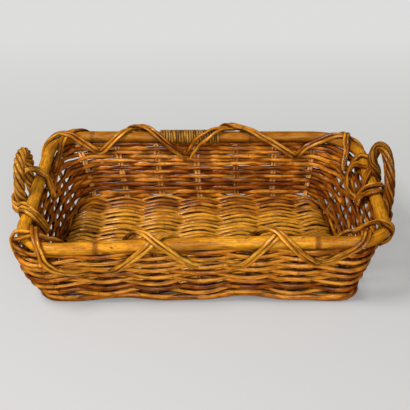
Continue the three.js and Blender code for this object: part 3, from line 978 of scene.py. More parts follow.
@dataclass
class WallWeave:
    """The foot cane and the courses of the wall, each one cane woven round the stakes."""

    wall: TrayWall
    step: float = 6.5
    pinch: float = 0.08
    half_out: float = 2.4
    half_up: float = 3.4
    gauge_stray: float = 0.05
    thick_stray: float = 0.1
    unevenness: float = 0.9
    first_roughness: float = 0.4
    back_roughness: float = 0.6
    span_roughness: float = 0.7
    wander: Stray = Stray(amount=1.6, span=150.0)
    wander_step: float = 40.0
    fullness: dict[Side, float] = field(default_factory=lambda: by_side(0.08, 0.5, 0.34, 0.5))
    corner_shares: Shares = (0.25, 0.5, 0.75)
    corner_fullness: float = 0.16
    corner_stray: float = 0.8
    far_fullness: float = 0.36
    swing_out: dict[Side, float] = field(default_factory=lambda: by_side(6.4, 2.2, 4.5, 2.8))
    swing_in: dict[Side, float] = field(default_factory=lambda: by_side(4.5, 2.2, 4.5, 2.8))
    level_swing: float = 4.5
    swing_stray: float = 0.1
    back_rise: float = 2.2
    front_sag: float = 0.8
    top_rise: float = 6.0
    top_bulge: float = 9.0
    top_bulge_band: Band = (76.0, 90.0)
    bulge_width: float = 3.0
    foot_clear: float = 0.45
    foot_swing: float = 1.6
    foot_share: float = 0.9
    low_level: float = 1.7
    low_unevenness: float = 0.3
    low_fullness: float = 0.24
    low_fullness_band: Band = (100.0, 128.0)
    low_rise: float = 0.7
    low_tone: float = 0.35
    low_drop: float = 3.4
    press: float = 5.0
    press_inside: float = 12.0
    press_outside: float = 2.5
    press_clear: float = 15.0
    arches: tuple[FootArch, ...] = (
        FootArch(middle=60.0, half=58.0, rise=9.0),
        FootArch(middle=-98.0, half=62.0, rise=4.5),
    )
    low_arch: float = 0.95
    row_arch: float = 0.85
    row_arch_loss: float = 0.16
    arched_rows: int = 5
    tone_luck: float = 0.5
    # Painted shade and light on the wall's tone: darker at the back, at the ends and on the right, lighter
    # high on the front under the pole.
    deep_shade: float = 0.18
    back_tone: float = 0.14
    end_shade: float = 0.26
    right_tone: float = 0.3
    near_right_shade: float = 0.7
    top_light: float = 0.3
    top_light_band: Band = (66.0, 90.0)

    def course(self, height: float, offsets: list[float], key: float, rough: float) -> list[Knot]:
        """Lay one course round the wall.

        Args:
            height: its height over the floor.
            offsets: how far outside the middle surface it passes each stake.
            key: its number.
            rough: how far it strays up and down.

        Returns:
            Its knots.
        """
        wall = self.wall
        knots = []
        count = len(wall.stakes)
        for index, stake in enumerate(wall.stakes):
            following = wall.stakes[(index + 1) % count]
            spot = wall.stake_at(stake, height)
            offset = offsets[index] * Hand.near(self.swing_stray, key, index)
            here = rough * (self.back_roughness if stake.side is Side.BACK else 1.0)
            knots.append(self.knot(spot, offset, key, index, here))
            if stake.side is Side.FRONT and offset > 0.0 and rough:
                knots[-1].thick += self.fullness[Side.FRONT]
            goal = offsets[(index + 1) % count]
            if stake.side is not following.side:
                spots = wall.corner_between(stake, following, height, self.corner_shares)
                for share, bent in zip(self.corner_shares, spots):
                    swung = offset + (goal - offset) * ease(share, 0.0, 1.0)
                    knots.append(self.knot(bent, swung, key, index + share, rough))
                    full = self.corner_fullness + (self.far_fullness if bent.point.y > 0.0 else 0.0)
                    knots[-1].thick += full * rough * Hand.near(self.corner_stray, key + 0.9, index + share)
            elif stake.side is not Side.FRONT:
                ahead = wall.stake_at(following, height)
                middle = Spot(spot.point.lerp(ahead.point, 0.5), spot.out)
                between = 0.5 * (offset + goal)
                knots.append(self.knot(middle, between, key, index + 0.5, self.span_roughness * rough))
                knots[-1].thick += self.fullness[stake.side] * (1.0 if rough else 0.0)
        return knots

    def knot(self, spot: Spot, offset: float, key: float, index: float, rough: float) -> Knot:
        """Make one knot of a course.

        Args:
            spot: where it is on the wall.
            offset: how far outside it lies.
            key: number of the course.
            index: number of the place.
            rough: how far it strays up and down.

        Returns:
            The knot.
        """
        out = spot.out
        near_left = min(self.bulge_width * out.x * out.y, 1.0) if max(out.x, out.y) < 0.0 else 0.0
        bulge = self.top_bulge * near_left * ease(spot.point.z, *self.top_bulge_band)
        point = spot.point + out * (offset + bulge)
        level = (-self.back_rise if out.y > 0.0 else self.front_sag) * offset / self.level_swing * out.y
        wander = self.wander.at(0.2 * key, self.wander_step * index)
        point.z += rough * (Hand.pick(key + 0.3, index) + wander) + (level if rough else 0.0)
        thick = Hand.near(self.thick_stray, key + 0.6, index)
        # Random tone of the course, plus painted shade and light by facing and height.
        tone = self.tone_luck * Hand.pick(key, index + 9.0) + self.tone(out, point.z)
        return Knot(point, UP, thick=thick, tone=tone)

    def tone(self, out: Vector, height: float) -> float:
        """Give the wall's painted shade and light, by the way it faces and by height: darker at the back, at
        the ends, on the right and most at the near right, lighter near the top of the front.

        Args:
            out: the way out of the wall.
            height: millimetres over the floor.

        Returns:
            The tone, higher where it is darker.
        """
        near, right = max(-out.y, 0.0), max(out.x, 0.0)
        dark = self.deep_shade * out.y + self.back_tone * max(out.y, 0.0)
        dark += self.end_shade * abs(out.x) + self.right_tone * right + self.near_right_shade * near * right
        return dark - self.top_light * near * ease(height, *self.top_light_band)

    def weave(self, node: str, slot: str, route: Route, arch: float, gauge: Gauge, key: float) -> None:
        """Sweep one cane of the wall, arched up on the front where the tray stands clear of the floor.

        Args:
            node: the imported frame's node.
            slot: the record's material slot.
            route: the way of the cane.
            arch: how much of the arches it follows.
            gauge: its section.
            key: its number.
        """
        stations = route.stations(self.step)
        for station in stations:
            if station.point.y < 0.0:
                station.point.z += arch * sum(raised.at(station.point.x) for raised in self.arches)
        CanePiece(node).sweep(stations, gauge, Contact.ROWS, key).place(slot)

    def build(self) -> None:
        """Sweep the foot cane and the courses."""
        wall = self.wall
        count = len(wall.stakes)
        offsets = [wall.stake / 2.0 + self.foot_swing * (-1.0) ** index for index in range(count)]
        knots = self.course(wall.foot_r + self.foot_clear, offsets, 1.0, 0.0)
        foot_half = wall.foot_r * self.foot_share
        foot = Gauge(foot_half, foot_half)
        self.weave("foot_cane", "foot_cane", Route(knots, closed=True), 1.0, foot, 1.0)

        low_z = wall.foot_r * self.low_level + wall.weaver / 2.0
        knots = self.course(low_z, [wall.reach] * count, 2.0, self.low_unevenness)
        for knot in knots:
            knot.thick += self.low_fullness * ease(abs(knot.point.y), *self.low_fullness_band)
            knot.point.z += self.low_rise
            knot.tone += self.low_tone
        low = Route(knots, closed=True)
        self.weave("wall_course_01", "wall_cane", low, self.low_arch, self.gauge(2.0), 2.0)

        steps = math.floor((wall.last_z - wall.first_z) / (wall.weaver + wall.row_gap))
        lowest = wall.first_z - self.low_drop
        rise = (wall.last_z + self.top_rise - lowest) / steps
        for row in range(steps + 1):
            key = 3.0 + row
            offsets = [self.offset(stake, (index + row) % 2 == 0) for index, stake in enumerate(wall.stakes)]
            rough = self.unevenness * (1.0 if row else self.first_roughness)
            knots = self.course(lowest + row * rise, offsets, key, rough)
            if row == 0:
                self.close_foot(knots)
            arch = self.row_arch - self.row_arch_loss * row if row < self.arched_rows else 0.0
            route = Route(knots, closed=True, pinch=self.pinch)
            self.weave(f"wall_course_{row + 2:02d}", "wall_cane", route, arch, self.gauge(key), key)

    def close_foot(self, knots: list[Knot]) -> None:
        """Press the lowest woven course down where it passes inside the stakes of a long side.

        Args:
            knots: the knots of the course.
        """
        for knot in knots:
            deep = abs(knot.point.y) - self.wall.foot_b
            clear = abs(knot.point.x) < self.wall.foot_a - self.press_clear
            if clear and -self.press_inside < deep < self.press_outside:
                knot.point.z -= self.press

    def offset(self, stake: Stake, outside: bool) -> float:
        """Tell how far outside the wall's middle a course passes a stake."""
        return self.swing_out[stake.side] if outside else -self.swing_in[stake.side]

    def gauge(self, key: float) -> Gauge:
        """Give a course's own thickness."""
        share = Hand.near(self.gauge_stray, key, 31.0)
        return Gauge(self.half_out * share, self.half_up * share)


@dataclass
class StakeSet:
    """The doubled stakes: through the base from front to back, and up the two end walls."""

    wall: TrayWall
    splice_x: float = -25.0
    splice_half: float = 45.2
    fullness: float = 1.1
    sides: int = 8
    stretches: int = 3
    soft_share: float = 0.25
    shoulder: float = 0.2
    pin_rise: float = 1.3
    # Stakes off the back are painted darker, as painted shade where the rows hide them.
    hidden_shade_tone: float = 0.7
    hidden_shade: float = 0.42
    first_keys: dict[Side, float] = field(default_factory=lambda: by_side(40.0, 50.0, 40.0, 60.0))
    step: float = 7.0

    def leg(self, stake: Stake, start: float, stop: float, shift: float) -> list[Knot]:
        """Lay one cane of a pair up or down the wall.

        Args:
            stake: the stake.
            start: height where it starts.
            stop: height where it ends.
            shift: distance along the wall from the pair's middle.

        Returns:
            Its knots.
        """
        knots = []
        shown = stake.side is Side.BACK
        # Stakes off the back get painted shade in their tone and stain.
        tone, stain_and_shade = (0.0, 0.0) if shown else (self.hidden_shade_tone, self.hidden_shade)
        for index in range(self.stretches + 1):
            spot = self.wall.stake_at(stake, start + (stop - start) * index / self.stretches)
            along = Vector((-spot.out.y, spot.out.x, 0.0))
            knots.append(Knot(spot.point + along * shift, spot.out, stain_and_shade=stain_and_shade, tone=tone))
        return knots

    def pair(self, first: list[Knot], second: list[Knot], away: Vector) -> list[Knot]:
        """Join the two canes of a pair by a hairpin.

        Args:
            first: the knots up to the turn.
            second: the knots from the turn on.
            away: the way the turn points.

        Returns:
            The knots of both canes and of the turn.
        """
        start, end = first[-1], second[0]
        middle = (start.point + end.point) / 2.0
        half = (start.point - middle).length
        tip = middle + away * half
        shoulders = [knot.point.lerp(tip, 0.5) + away * half * self.shoulder for knot in (start, end)]
        turn = [Knot(point, start.up) for point in (shoulders[0], tip, shoulders[1])]
        return first + turn + second

    def through(self, place: float, shift: float, back_top: float) -> list[Knot]:
        """Lay one cane down the front, through the base and up the back.

        Args:
            place: the pair's place along the front.
            shift: distance from the pair's middle.
            back_top: height where it ends on the back.

        Returns:
            Its knots.
        """
        wall = self.wall
        ring = wall.ring_at(wall.base_z)
        x = place * ring.half_long / wall.foot_a + shift
        bend_y = ring.half_deep - wall.bend
        soft_y = ring.half_deep - wall.bend * self.soft_share
        soft_z = wall.base_z + wall.bend * self.soft_share
        knots = self.leg(Stake(Side.FRONT, place), wall.stake_top, wall.first_z, shift)
        knots += [
            Knot(Vector((x, -soft_y, soft_z)), (DOWN - DEEP).normalized()),
            Knot(Vector((x, -bend_y, wall.base_z)), DOWN),
            Knot(Vector((x, bend_y, wall.base_z)), DOWN),
            Knot(Vector((x, soft_y, soft_z)), (DOWN + DEEP).normalized()),
        ]
        return knots + self.leg(Stake(Side.BACK, place), wall.first_z, back_top, -shift)

    def build(self) -> None:
        """Sweep all the stakes."""
        wall = self.wall
        pairs: dict[str, tuple[list[Knot], float]] = {}
        half = wall.stake / 2.0
        pin_top = wall.stake_top - wall.pair_half - half
        away = Vector((0.0, math.sin(wall.lean), math.cos(wall.lean)))
        for index, place in enumerate(wall.long_places):
            top_x = wall.stake_at(Stake(Side.BACK, place), wall.stake_top).point.x
            bound = abs(top_x - self.splice_x) < self.splice_half + wall.pair_half + half
            back_top = pin_top - (wall.binding + wall.clearance if bound else 0.0)
            first = self.through(place, -wall.pair_half, back_top)
            second = self.through(place, wall.pair_half, back_top)[::-1]
            key = self.first_keys[Side.FRONT] + index
            pairs[f"long_stake_{index + 1}"] = (self.pair(first, second, away), key)
        foot_z = 2.0 * wall.foot_r + wall.clearance + half + wall.pair_half * self.pin_rise
        for side in (Side.LEFT, Side.RIGHT):
            for index, place in enumerate(wall.end_places):
                stake = Stake(side, place)
                down = self.leg(stake, wall.stake_top, foot_z, -wall.pair_half)
                rise = self.leg(stake, foot_z, wall.stake_top, wall.pair_half)
                key = self.first_keys[side] + index
                pairs[f"{side.value}_stake_{index + 1}"] = (self.pair(down, rise, DOWN), key)
        gauge = Gauge(half * self.fullness, half * self.fullness, self.sides)
        for node, (knots, key) in pairs.items():
            stations = Route(knots).stations(self.step)
            CanePiece(node).sweep(stations, gauge, Contact.NONE, key).place("stake_cane")


@dataclass
class BaseWeave:
    """The base: canes woven back and forth over and under the stakes."""

    wall: TrayWall
    canes: int = 5
    first_key: float = 70.0
    edge_turn: float = 26.0
    edge_stray: float = 3.0
    edge_in: float = 0.85
    edge_thick: float = 0.9
    # Painted shade where the base's rows turn beside the end walls, and at the outermost stakes.
    turn_shade: float = 0.9
    edge_shade: float = 0.35
    swing: float = 6.6
    dip: float = 4.6
    swing_stray: float = 0.2
    deep_stray: float = 0.7
    long_stray: float = 3.0
    drift: Stray = Stray(amount=4.0, span=4.0)
    thick: float = 1.08
    thick_stray: float = 0.12
    over_fullness: float = 0.14
    row_tone: float = 0.45
    place_tone: float = 0.25
    wide_share: float = 1.15
    deep_share: float = 1.42
    pinch: float = 0.14
    step: float = 6.0

    def build(self) -> None:
        """Sweep the canes of the base."""
        wall = self.wall
        limit = wall.ring_at(wall.first_z).half_deep - wall.swing - wall.weaver - 2.0 * wall.clearance
        rows = math.floor(2.0 * limit / (wall.weaver + wall.row_gap)) + 1
        pitch = 2.0 * limit / (rows - 1)
        per_cane = math.ceil(rows / self.canes)
        stretch = wall.ring_at(wall.base_z).half_long / wall.foot_a
        places = [place * stretch for place in wall.long_places]
        half = wall.weaver / 2.0
        gauge = Gauge(half * self.wide_share, half * self.deep_share)
        for cane in range(self.canes):
            knots: list[Knot] = []
            last = min((cane + 1) * per_cane, rows) - 1
            for row in range(cane * per_cane, last + 1):
                y = -limit + row * pitch
                order = places if row % 2 == 0 else places[::-1]
                if not knots:
                    knots.append(self.edge(row + 0.5, order[0], y))
                knots += self.row(row, y, order)
                knots.append(self.edge(row, order[-1], y + (pitch / 2.0 if row < last else 0.0)))
            piece = CanePiece(f"base_cane_{cane + 1}")
            stations = Route(knots, pinch=self.pinch).stations(self.step)
            piece.sweep(stations, gauge, Contact.PACKED, self.first_key + cane).place("base_cane")

    def edge(self, key: float, x: float, y: float) -> Knot:
        """Give the knot where a cane turns or ends beyond the outermost stake.

        Args:
            key: number of the row.
            x: the stake's place.
            y: where the knot is.

        Returns:
            The knot.
        """
        turn = math.copysign(self.edge_turn + self.edge_stray * Hand.pick(key, 3.0), x)
        point = Vector((x + turn, y, self.wall.base_z))
        # The turn is darkened as painted shade by the end wall.
        return Knot(point, DEEP, thick=self.edge_thick, stain_and_shade=self.turn_shade)

    def row(self, row: int, y: float, order: list[float]) -> list[Knot]:
        """Lay one row over and under the stakes.

        Args:
            row: number of the row.
            y: where it runs.
            order: the stakes' places in the order it meets them.

        Returns:
            Its knots.
        """
        wall = self.wall
        knots = []
        for index, x in enumerate(order):
            edge = index in (0, len(order) - 1)
            over = (index + row) % 2 == 0
            rise = (self.swing if over else -self.dip) * Hand.near(self.swing_stray, row, index)
            stray = self.deep_stray * Hand.pick(row + 0.8, index)
            sideways = self.long_stray * Hand.pick(row + 0.5, index)
            sideways += self.drift.at(0.31 * index, row)
            if edge:
                sideways = math.copysign(wall.pair_half * self.edge_in, x)
            point = Vector((x + sideways, y + stray, wall.base_z + rise))
            thick = self.thick + self.thick_stray * Hand.pick(row + 0.2, 7.0)
            thick += self.over_fullness if over else 0.0
            tone = self.row_tone * Hand.pick(row, 17.0) + self.place_tone * Hand.pick(row, index + 3.0)
            # Painted shade at the outermost stakes, by the end walls.
            stain_and_shade = self.edge_shade if edge else 0.0
            knots.append(Knot(point, DEEP, thick=thick, stain_and_shade=stain_and_shade, tone=tone))
        return knots


@dataclass(frozen=True)
class Scar:
    """A scar on the front of the pole: its start, angle over the level, length, climb and half width."""

    x: float
    degrees: float
    length: float
    climb: float
    half: float


@dataclass
class RimPole:
    """The rim: one bent pole with growth rings, and the fine winding over its splice."""

    wall: TrayWall
    splice_x: float = -24.0
    splice_gap: float = 0.2
    bend_room: float = 4.0
    bend_steps: int = 8
    sides: int = 20
    step: float = 5.0
    front_rings: tuple[float, ...] = (-138.0, 143.0)
    back_rings: tuple[float, ...] = (-176.0, 71.0)
    # Each row is a distance along the pole, the thickness there and how far the ring's mark shows.
    ring_shape: tuple[Triple, ...] = (
        (-9.0, 1.0, 0.0),
        (-4.6, 1.012, 0.15),
        (-3.2, 1.03, 0.9),
        (-1.2, 1.04, 0.95),
        (-0.3, 0.98, 1.1),
        (0.6, 1.025, 1.1),
        (2.8, 1.028, 0.9),
        (4.4, 1.015, 0.15),
        (9.0, 1.0, 0.0),
    )
    ring_stain: float = 0.25
    ring_mark: float = 0.85
    first_key: float = 80.0
    thick_stray: Stray = Stray(amount=0.014, span=70.0)
    tone_stray: Stray = Stray(amount=0.35, span=90.0)
    tone: float = -0.2
    back_tone: float = 0.4
    far_tone: float = 0.4
    near_tone: float = 0.2
    left_tone: float = -0.3
    right_tone: float = -0.05
    deep_band: Band = (60.0, 150.0)
    end_band: Band = (205.0, 232.0)
    far_band: Band = (40.0, 140.0)
    near_band: Band = (142.0, 160.0)
    left_band: Band = (80.0, 130.0)
    scars: tuple[Scar, ...] = (
        Scar(x=-131.0, degrees=-22.0, length=12.0, climb=6.0, half=2.2),
        Scar(x=-120.0, degrees=34.0, length=5.0, climb=-8.0, half=0.9),
        Scar(x=50.0, degrees=62.0, length=5.0, climb=26.0, half=0.6),
        Scar(x=121.0, degrees=64.0, length=5.0, climb=26.0, half=0.6),
        Scar(x=-56.0, degrees=10.0, length=6.0, climb=2.0, half=0.8),
    )
    scar_depth: float = 0.35
    scar_lift: float = 0.1
    scar_sides: int = 8
    scar_steps: int = 6
    scar_end: float = 0.15
    scar_stray: float = 0.2
    scar_stain: float = 0.9
    scar_tone: float = 0.5
    turns: int = 23
    turn_steps: int = 18
    binding_wide: float = 1.2
    binding_deep: float = 0.82
    binding_lift: float = 0.2
    binding_seat: float = 0.8
    binding_stray: float = 0.12
    binding_tone: float = 0.6
    pitch: float = 3.95

    def corner(self, sign_x: float, sign_y: float, start: float) -> list[Knot]:
        """Bend the pole round one corner.

        Args:
            sign_x: side of the corner along X.
            sign_y: side of the corner along Y.
            start: angle where the bend starts.

        Returns:
            Its knots.
        """
        wall = self.wall
        knots = []
        for index in range(self.bend_steps + 1):
            angle = start + QUARTER * index / self.bend_steps
            x = sign_x * wall.straight + wall.rim_corner * math.cos(angle)
            y = sign_y * (wall.rim_b - wall.rim_corner) + wall.rim_corner * math.sin(angle)
            knots.append(Knot(Vector((x, y, wall.rim_height)), UP))
        return knots

    def run(self, start: float, stop: float, y: float, rings: tuple[float, ...]) -> list[Knot]:
        """Lay the pole straight, with a knot on each growth ring and beside it.

        Args:
            start: where it starts along X.
            stop: where it ends along X.
            y: where it runs.
            rings: the growth rings along X.

        Returns:
            Its knots.
        """
        heading = math.copysign(1.0, stop - start)
        knots = [Knot(Vector((start, y, self.wall.rim_height)), UP)]
        inside = [x for x in rings if min(start, stop) < x < max(start, stop)]
        for x in sorted(inside, key=lambda place: heading * place):
            for shift, thick, ring in self.ring_shape:
                point = Vector((x + heading * shift, y, self.wall.rim_height))
                stain_and_shade, mark = self.ring_stain * ring, self.ring_mark * ring
                knots.append(Knot(point, UP, thick=thick, stain_and_shade=stain_and_shade, ring=mark))
        knots.append(Knot(Vector((stop, y, self.wall.rim_height)), UP))
        return knots

    def ageing(self, point: Vector) -> float:
        """Tell how much browner the pole has grown at a point.

        Args:
            point: the point in millimetres.

        Returns:
            The tone, higher where it is browner.
        """
        back, front = ease(point.y, *self.deep_band), ease(-point.y, *self.deep_band)
        left_end = ease(-point.x, *self.end_band) * (1.0 - ease(abs(point.y), *self.left_band))
        aged = self.tone + self.back_tone * back + self.far_tone * back * ease(point.x, *self.far_band)
        aged += self.near_tone * front * ease(point.x, *self.near_band)
        return aged + self.left_tone * left_end + self.right_tone * ease(point.x, *self.end_band)

    def build(self) -> None:
        """Sweep the pole and its winding."""
        wall = self.wall
        end = wall.straight - self.bend_room
        knots = self.run(self.splice_x - self.splice_gap, -end, wall.rim_b, self.back_rings)
        knots += self.corner(-1.0, 1.0, QUARTER)
        knots += self.corner(-1.0, -1.0, math.pi)
        knots += self.run(-end, end, -wall.rim_b, self.front_rings)
        knots += self.corner(1.0, -1.0, -QUARTER)
        knots += self.corner(1.0, 1.0, 0.0)
        knots += self.run(end, self.splice_x + self.splice_gap, wall.rim_b, self.back_rings)
        stations = Route(knots).stations(self.step)
        travelled = 0.0
        for near, far in zip(stations, stations[1:]):
            travelled += (far.point - near.point).length
            far.thick *= 1.0 + self.thick_stray.at(self.first_key + 1.0, travelled)
            far.tone += self.tone_stray.at(self.first_key + 2.0, travelled) + self.ageing(far.point)
        pole = CanePiece("rim_pole")
        gauge = Gauge(wall.pole / 2.0, wall.pole / 2.0, self.sides)
        # The pole's underside is darkened as painted shade.
        pole.sweep(stations, gauge, Contact.UNDER, self.first_key)
        for mark in self.scars:
            gauge = Gauge(mark.half, self.scar_depth, self.scar_sides)
            pole.sweep(self.scar(mark), gauge, Contact.NONE, self.first_key + 6.0)
        pole.place("rim_pole")
        self.wind()

    def scar(self, mark: Scar) -> list[Knot]:
        """Lay a dark scar or crack on the front of the pole.

        Args:
            mark: the scar.

        Returns:
            Its stations.
        """
        wall = self.wall
        stations = []
        for index in range(self.scar_steps + 1):
            share = index / self.scar_steps
            angle = math.radians(mark.degrees + mark.climb * share)
            out = Vector((0.0, -math.cos(angle), math.sin(angle)))
            centre = Vector((mark.x + mark.length * share, -wall.rim_b, wall.rim_height))
            point = centre + out * (wall.pole / 2.0 + self.scar_lift)
            thick = self.scar_end + math.sin(math.pi * share) * Hand.near(self.scar_stray, mark.x, index)
            stations.append(Knot(point, out, thick=thick, stain_and_shade=self.scar_stain, tone=self.scar_tone))
        return stations

    def wind(self) -> None:
        """Wind the fine cane over the splice."""
        wall = self.wall
        half = wall.binding / 2.0
        seat = wall.pole / 2.0 + self.binding_lift + half * self.binding_seat
        knots = []
        for index in range(self.turns * self.turn_steps + 1):
            turned = index / self.turn_steps
            angle = TURN * turned - QUARTER
            out = Vector((0.0, math.cos(angle), math.sin(angle)))
            x = self.splice_x + (turned - self.turns / 2.0) * self.pitch
            way = seat + self.binding_stray * Hand.pick(self.first_key + 3.0, math.floor(turned))
            point = Vector((x, wall.rim_b, wall.rim_height)) + out * way
            tone = self.binding_tone * Hand.pick(self.first_key + 4.0, math.floor(turned + 0.25))
            knots.append(Knot(point, out, tone=tone))
        gauge = Gauge(half * self.binding_wide, half * self.binding_deep)
        piece = CanePiece("rim_splice_binding")
        piece.sweep(knots, gauge, Contact.BESIDE, self.first_key + 5.0).place("binding_cane")


@dataclass
class RimSurface:
    """The surface that lashings lie on: over the rim and down both faces of the wall, unrolled."""

    wall: TrayWall
    way: float = 11.6

    def profile(self, along: float, lift: float) -> tuple[float, float, float, float]:
        """Give a place on the surface in the plane across the rim.

        Args:
            along: distance from the top of the rim, positive down the outside.
            lift: distance off the surface.

        Returns:
            The distance out and up from the rim's centre, and the normal out and up.
        """
        lean = self.wall.lean
        arc = self.way * (QUARTER + (lean if along >= 0.0 else -lean))
        bent = min(abs(along), arc) / self.way
        angle = QUARTER - math.copysign(bent, along)
        down = max(abs(along) - arc, 0.0)
        out = (self.way + lift) * math.cos(angle) - down * math.sin(lean)
        rise = (self.way + lift) * math.sin(angle) - down * math.cos(lean)
        return out, rise, math.cos(angle), math.sin(angle)

    def on_long_rim(self, deep: float, run: float, along: float, lift: float) -> Knot:
        """Give a knot on the front or back rim, counted from its middle and on round the corners.

        Args:
            deep: -1 for the front, 1 for the back.
            run: distance along the rim from the middle.
            along: distance over the rim.
            lift: distance off the surface.

        Returns:
            The knot.
        """
        wall = self.wall
        past = max(abs(run) - wall.straight, 0.0)
        angle = min(past / wall.rim_corner, QUARTER)
        rest = past - angle * wall.rim_corner
        out = Vector((math.copysign(math.sin(angle), run), deep * math.cos(angle), 0.0))
        x = math.copysign(min(abs(run), wall.straight), run)
        y = deep * (wall.rim_b - wall.rim_corner - rest)
        centre = Vector((x, y, wall.rim_height)) + out * wall.rim_corner
        far, rise, normal_out, normal_up = self.profile(along, lift)
        up = out * normal_out + UP * normal_up
        return Knot(centre + out * far + UP * rise, up.normalized())

    def on_end_rim(self, away: float, y: float, along: float, lift: float) -> Knot:
        """Give a knot on the left or right rim.

        Args:
            away: -1 for the left, 1 for the right.
            y: where it is along the rim.
            along: distance over the rim.
            lift: distance off the surface.

        Returns:
            The knot.
        """
        wall = self.wall
        far, rise, normal_out, normal_up = self.profile(along, lift)
        point = Vector((away * (wall.rim_a + far), y, wall.rim_height + rise))
        return Knot(point, Vector((away * normal_out, 0.0, normal_up)).normalized())


@dataclass
class RimLashing:
    """The paired canes that cross over the rim in waves and hold it to the wall."""

    surface: RimSurface
    fullness: float = 1.16
    depth_share: float = 0.95
    pair_gap: float = 0.1
    over: float = 5.6
    step: float = 4.0
    first_key: float = 91.0
    thick_stray: Stray = Stray(amount=0.07, span=9.0)
    tone_stray: Stray = Stray(amount=0.35, span=14.0)
    front_tone: float = -0.6
    back_tone: float = 0.22
    corner_tone: float = 0.45
    corner_band: Band = (150.0, 195.0)
    tail_tone: float = -0.225
    tail_band: Band = (215.0, 235.0)
    crossing_tone: float = -0.35
    crossing_run: float = -25.0
    crossing_half: float = 95.0
    # Painted shade where a pair tucks down under the canes or pole it passes.
    tuck_shade: float = 0.5
    tuck_band: Band = (2.0, 9.0)
    splay: float = 0.9
    splay_start: Band = (218.0, 236.0)
    splay_stop: Band = (242.0, 252.0)
    deep_band: Band = (60.0, 110.0)
    top_band: Band = (103.0, 112.0)
    back_splay_x: float = -8.0
    back_splay_half: float = 38.0

    def front_pairs(self) -> dict[str, list[Knot]]:
        """Lay out the two pairs on the front rim by run along it, way over it and lift.

        Returns:
            The stations of each pair's middle, by the pair's name.
        """
        over = self.over
        first = [
            (-254, -22, -3), (-244, -13, 3), (-232, -5, 6.5), (-218, 1, 7), (-211, 6, 5.5),
            (-204, 13, 4.5), (-197, 23, 4.5), (-187, 37, 4), (-178, 49, 2), (-166, 59, -2), (-150, 64, -8),
            (-138, 65, -11), (-121, 63, -6), (-110, 52, 0), (-96, 38, 0), (-71, 13, 0), (-58, 0, 0),
            (-42, -14, 0), (-10, -36, -4), (30, -37, -4), (62, -16, 2), (77, -6, over), (91, 1, over),
            (104, 11, 4), (120, 26, 1), (134, 40, 0), (146, 51, -4), (151, 53, -8), (158, 48, -4),
            (172, 35, 0), (186, 24, 0), (197, 13, 0), (206, 1, 0), (214, -12, 0), (222, -25, 0),
            (230, -38, -3),
        ]
        second = [
            (-220, 37, -9), (-230, 35, -5), (-238, 32, 0), (-243, 26.5, 3.5), (-245.5, 20, 5),
            (-242.5, 14.5, 4.5), (-234, 8.5, 3), (-225, 3, 3), (-217, -0.5, 3), (-205, -4, 2),
            (-190, -9, 1), (-172, -26, 0), (-148, -39, -5), (-120, -36, -4), (-102, -18, 1),
            (-90, -7, over), (-76, 0, over), (-62, 9, 4.8), (-44, 22, 0), (-26, 39, 0), (-9, 54, -4),
            (6, 58, -10), (26, 59, -11), (41, 58, -7), (53, 50, -1), (70, 26, 0), (88, 6, 0), (94, -1, 0),
            (110, -18, 0), (138, -38, -4), (164, -28, 0), (181, -8, 2), (192, -6, 4), (204, -6, 7),
            (223, -6, 8), (237, -3, 4), (242, 9, 1), (244, 20, 0), (243, 31, -1), (240, 40, -8),
        ]
        return {"front_lash_a": self.lay(-1.0, first), "front_lash_b": self.lay(-1.0, second)}

    def back_pairs(self) -> dict[str, list[Knot]]:
        """Lay out the two pairs on the back rim by run along it, way over it and lift.

        Returns:
            The stations of each pair's middle, by the pair's name.
        """
        over = self.over
        first = [
            (-294, 46, -7), (-281, 31, -1), (-264, 15, -1.5), (-246, 7, -0.5), (-230, 1, 2),
            (-214, -8, 2.5), (-188, -23, 1), (-172, -34, -2), (-164, -39, -9), (-156, -33, -2),
            (-135, -12, 0), (-120, 0, 0), (-104, 10, 0), (-80, 25, 0), (-42, 41, -4), (-8, 37, -4),
            (10, 27, 0), (22, 16, 4), (31, 8, 7), (40, 1, 8.5), (51, -2, 8), (64, -3, 4.5), (76, -7, 3),
            (88, -13, 1.5), (105, -21.5, 0), (126, -34, 0), (139, -42, -2), (146, -46, -9), (151, -38, -3),
            (158, -30, 0), (170, -23, 0), (184, -17, 0), (198, -11, 0), (212, -5, 0), (223, 0, 0),
            (234, 6, 0), (242, 12, 0), (252, 22, 0), (262, 36, -7),
        ]
        second = [
            (-310, -31, -5), (-296, -27.5, -1), (-280, -25.5, 0), (-264, -23.5, 0), (-247, -19.5, 0),
            (-237, -13, 0), (-228, -9, -1.5), (-218, -3, -1.5), (-208, 1, -0.5), (-198, 6, -0.5),
            (-188, 14, -1), (-175, 27, -1), (-160, 37, -4), (-140, 33, -2), (-118, 14, over),
            (-103, 5, over), (-90, -2, over), (-76, -10, 4), (-57, -25, 2), (-40, -37, -1), (-29, -45, -5),
            (-25, -47, -10), (-20, -36, -3), (-11, -21, 1), (2, -12, 3), (16, -5, 4), (30, -1, 3),
            (42, 1, 2), (56, 8, 1), (72, 20, 0), (94, 36, -4), (132, 38, -4), (168, 34, -2), (192, 27, 0),
            (207, 19, 0.5), (218, 10, 2), (228, 2, 4.5), (240, -8, 4), (250, -18, 2), (258, -28, 0.5),
            (266, -37, -1), (271, -44, -6),
        ]
        return {"back_lash_a": self.lay(1.0, first), "back_lash_b": self.lay(1.0, second)}

    def lay(self, deep: float, places: list[Triple]) -> list[Knot]:
        """Lay a pair's middle over the rim.

        Args:
            deep: -1 for the front, 1 for the back.
            places: run along the rim, way over it and lift off it, in order.

        Returns:
            The stations of the middle.
        """
        knots = []
        for run, along, lift in places:
            knot = self.surface.on_long_rim(deep, run, along, lift)
            knot.tone = self.back_tone
            if deep < 0.0:
                knot.tone = self.front_tone + self.corner_tone * ease(abs(run), *self.corner_band)
                knot.tone += self.tail_tone * ease(run, *self.tail_band)
                knot.tone += self.crossing_tone * bump(run - self.crossing_run, self.crossing_half)
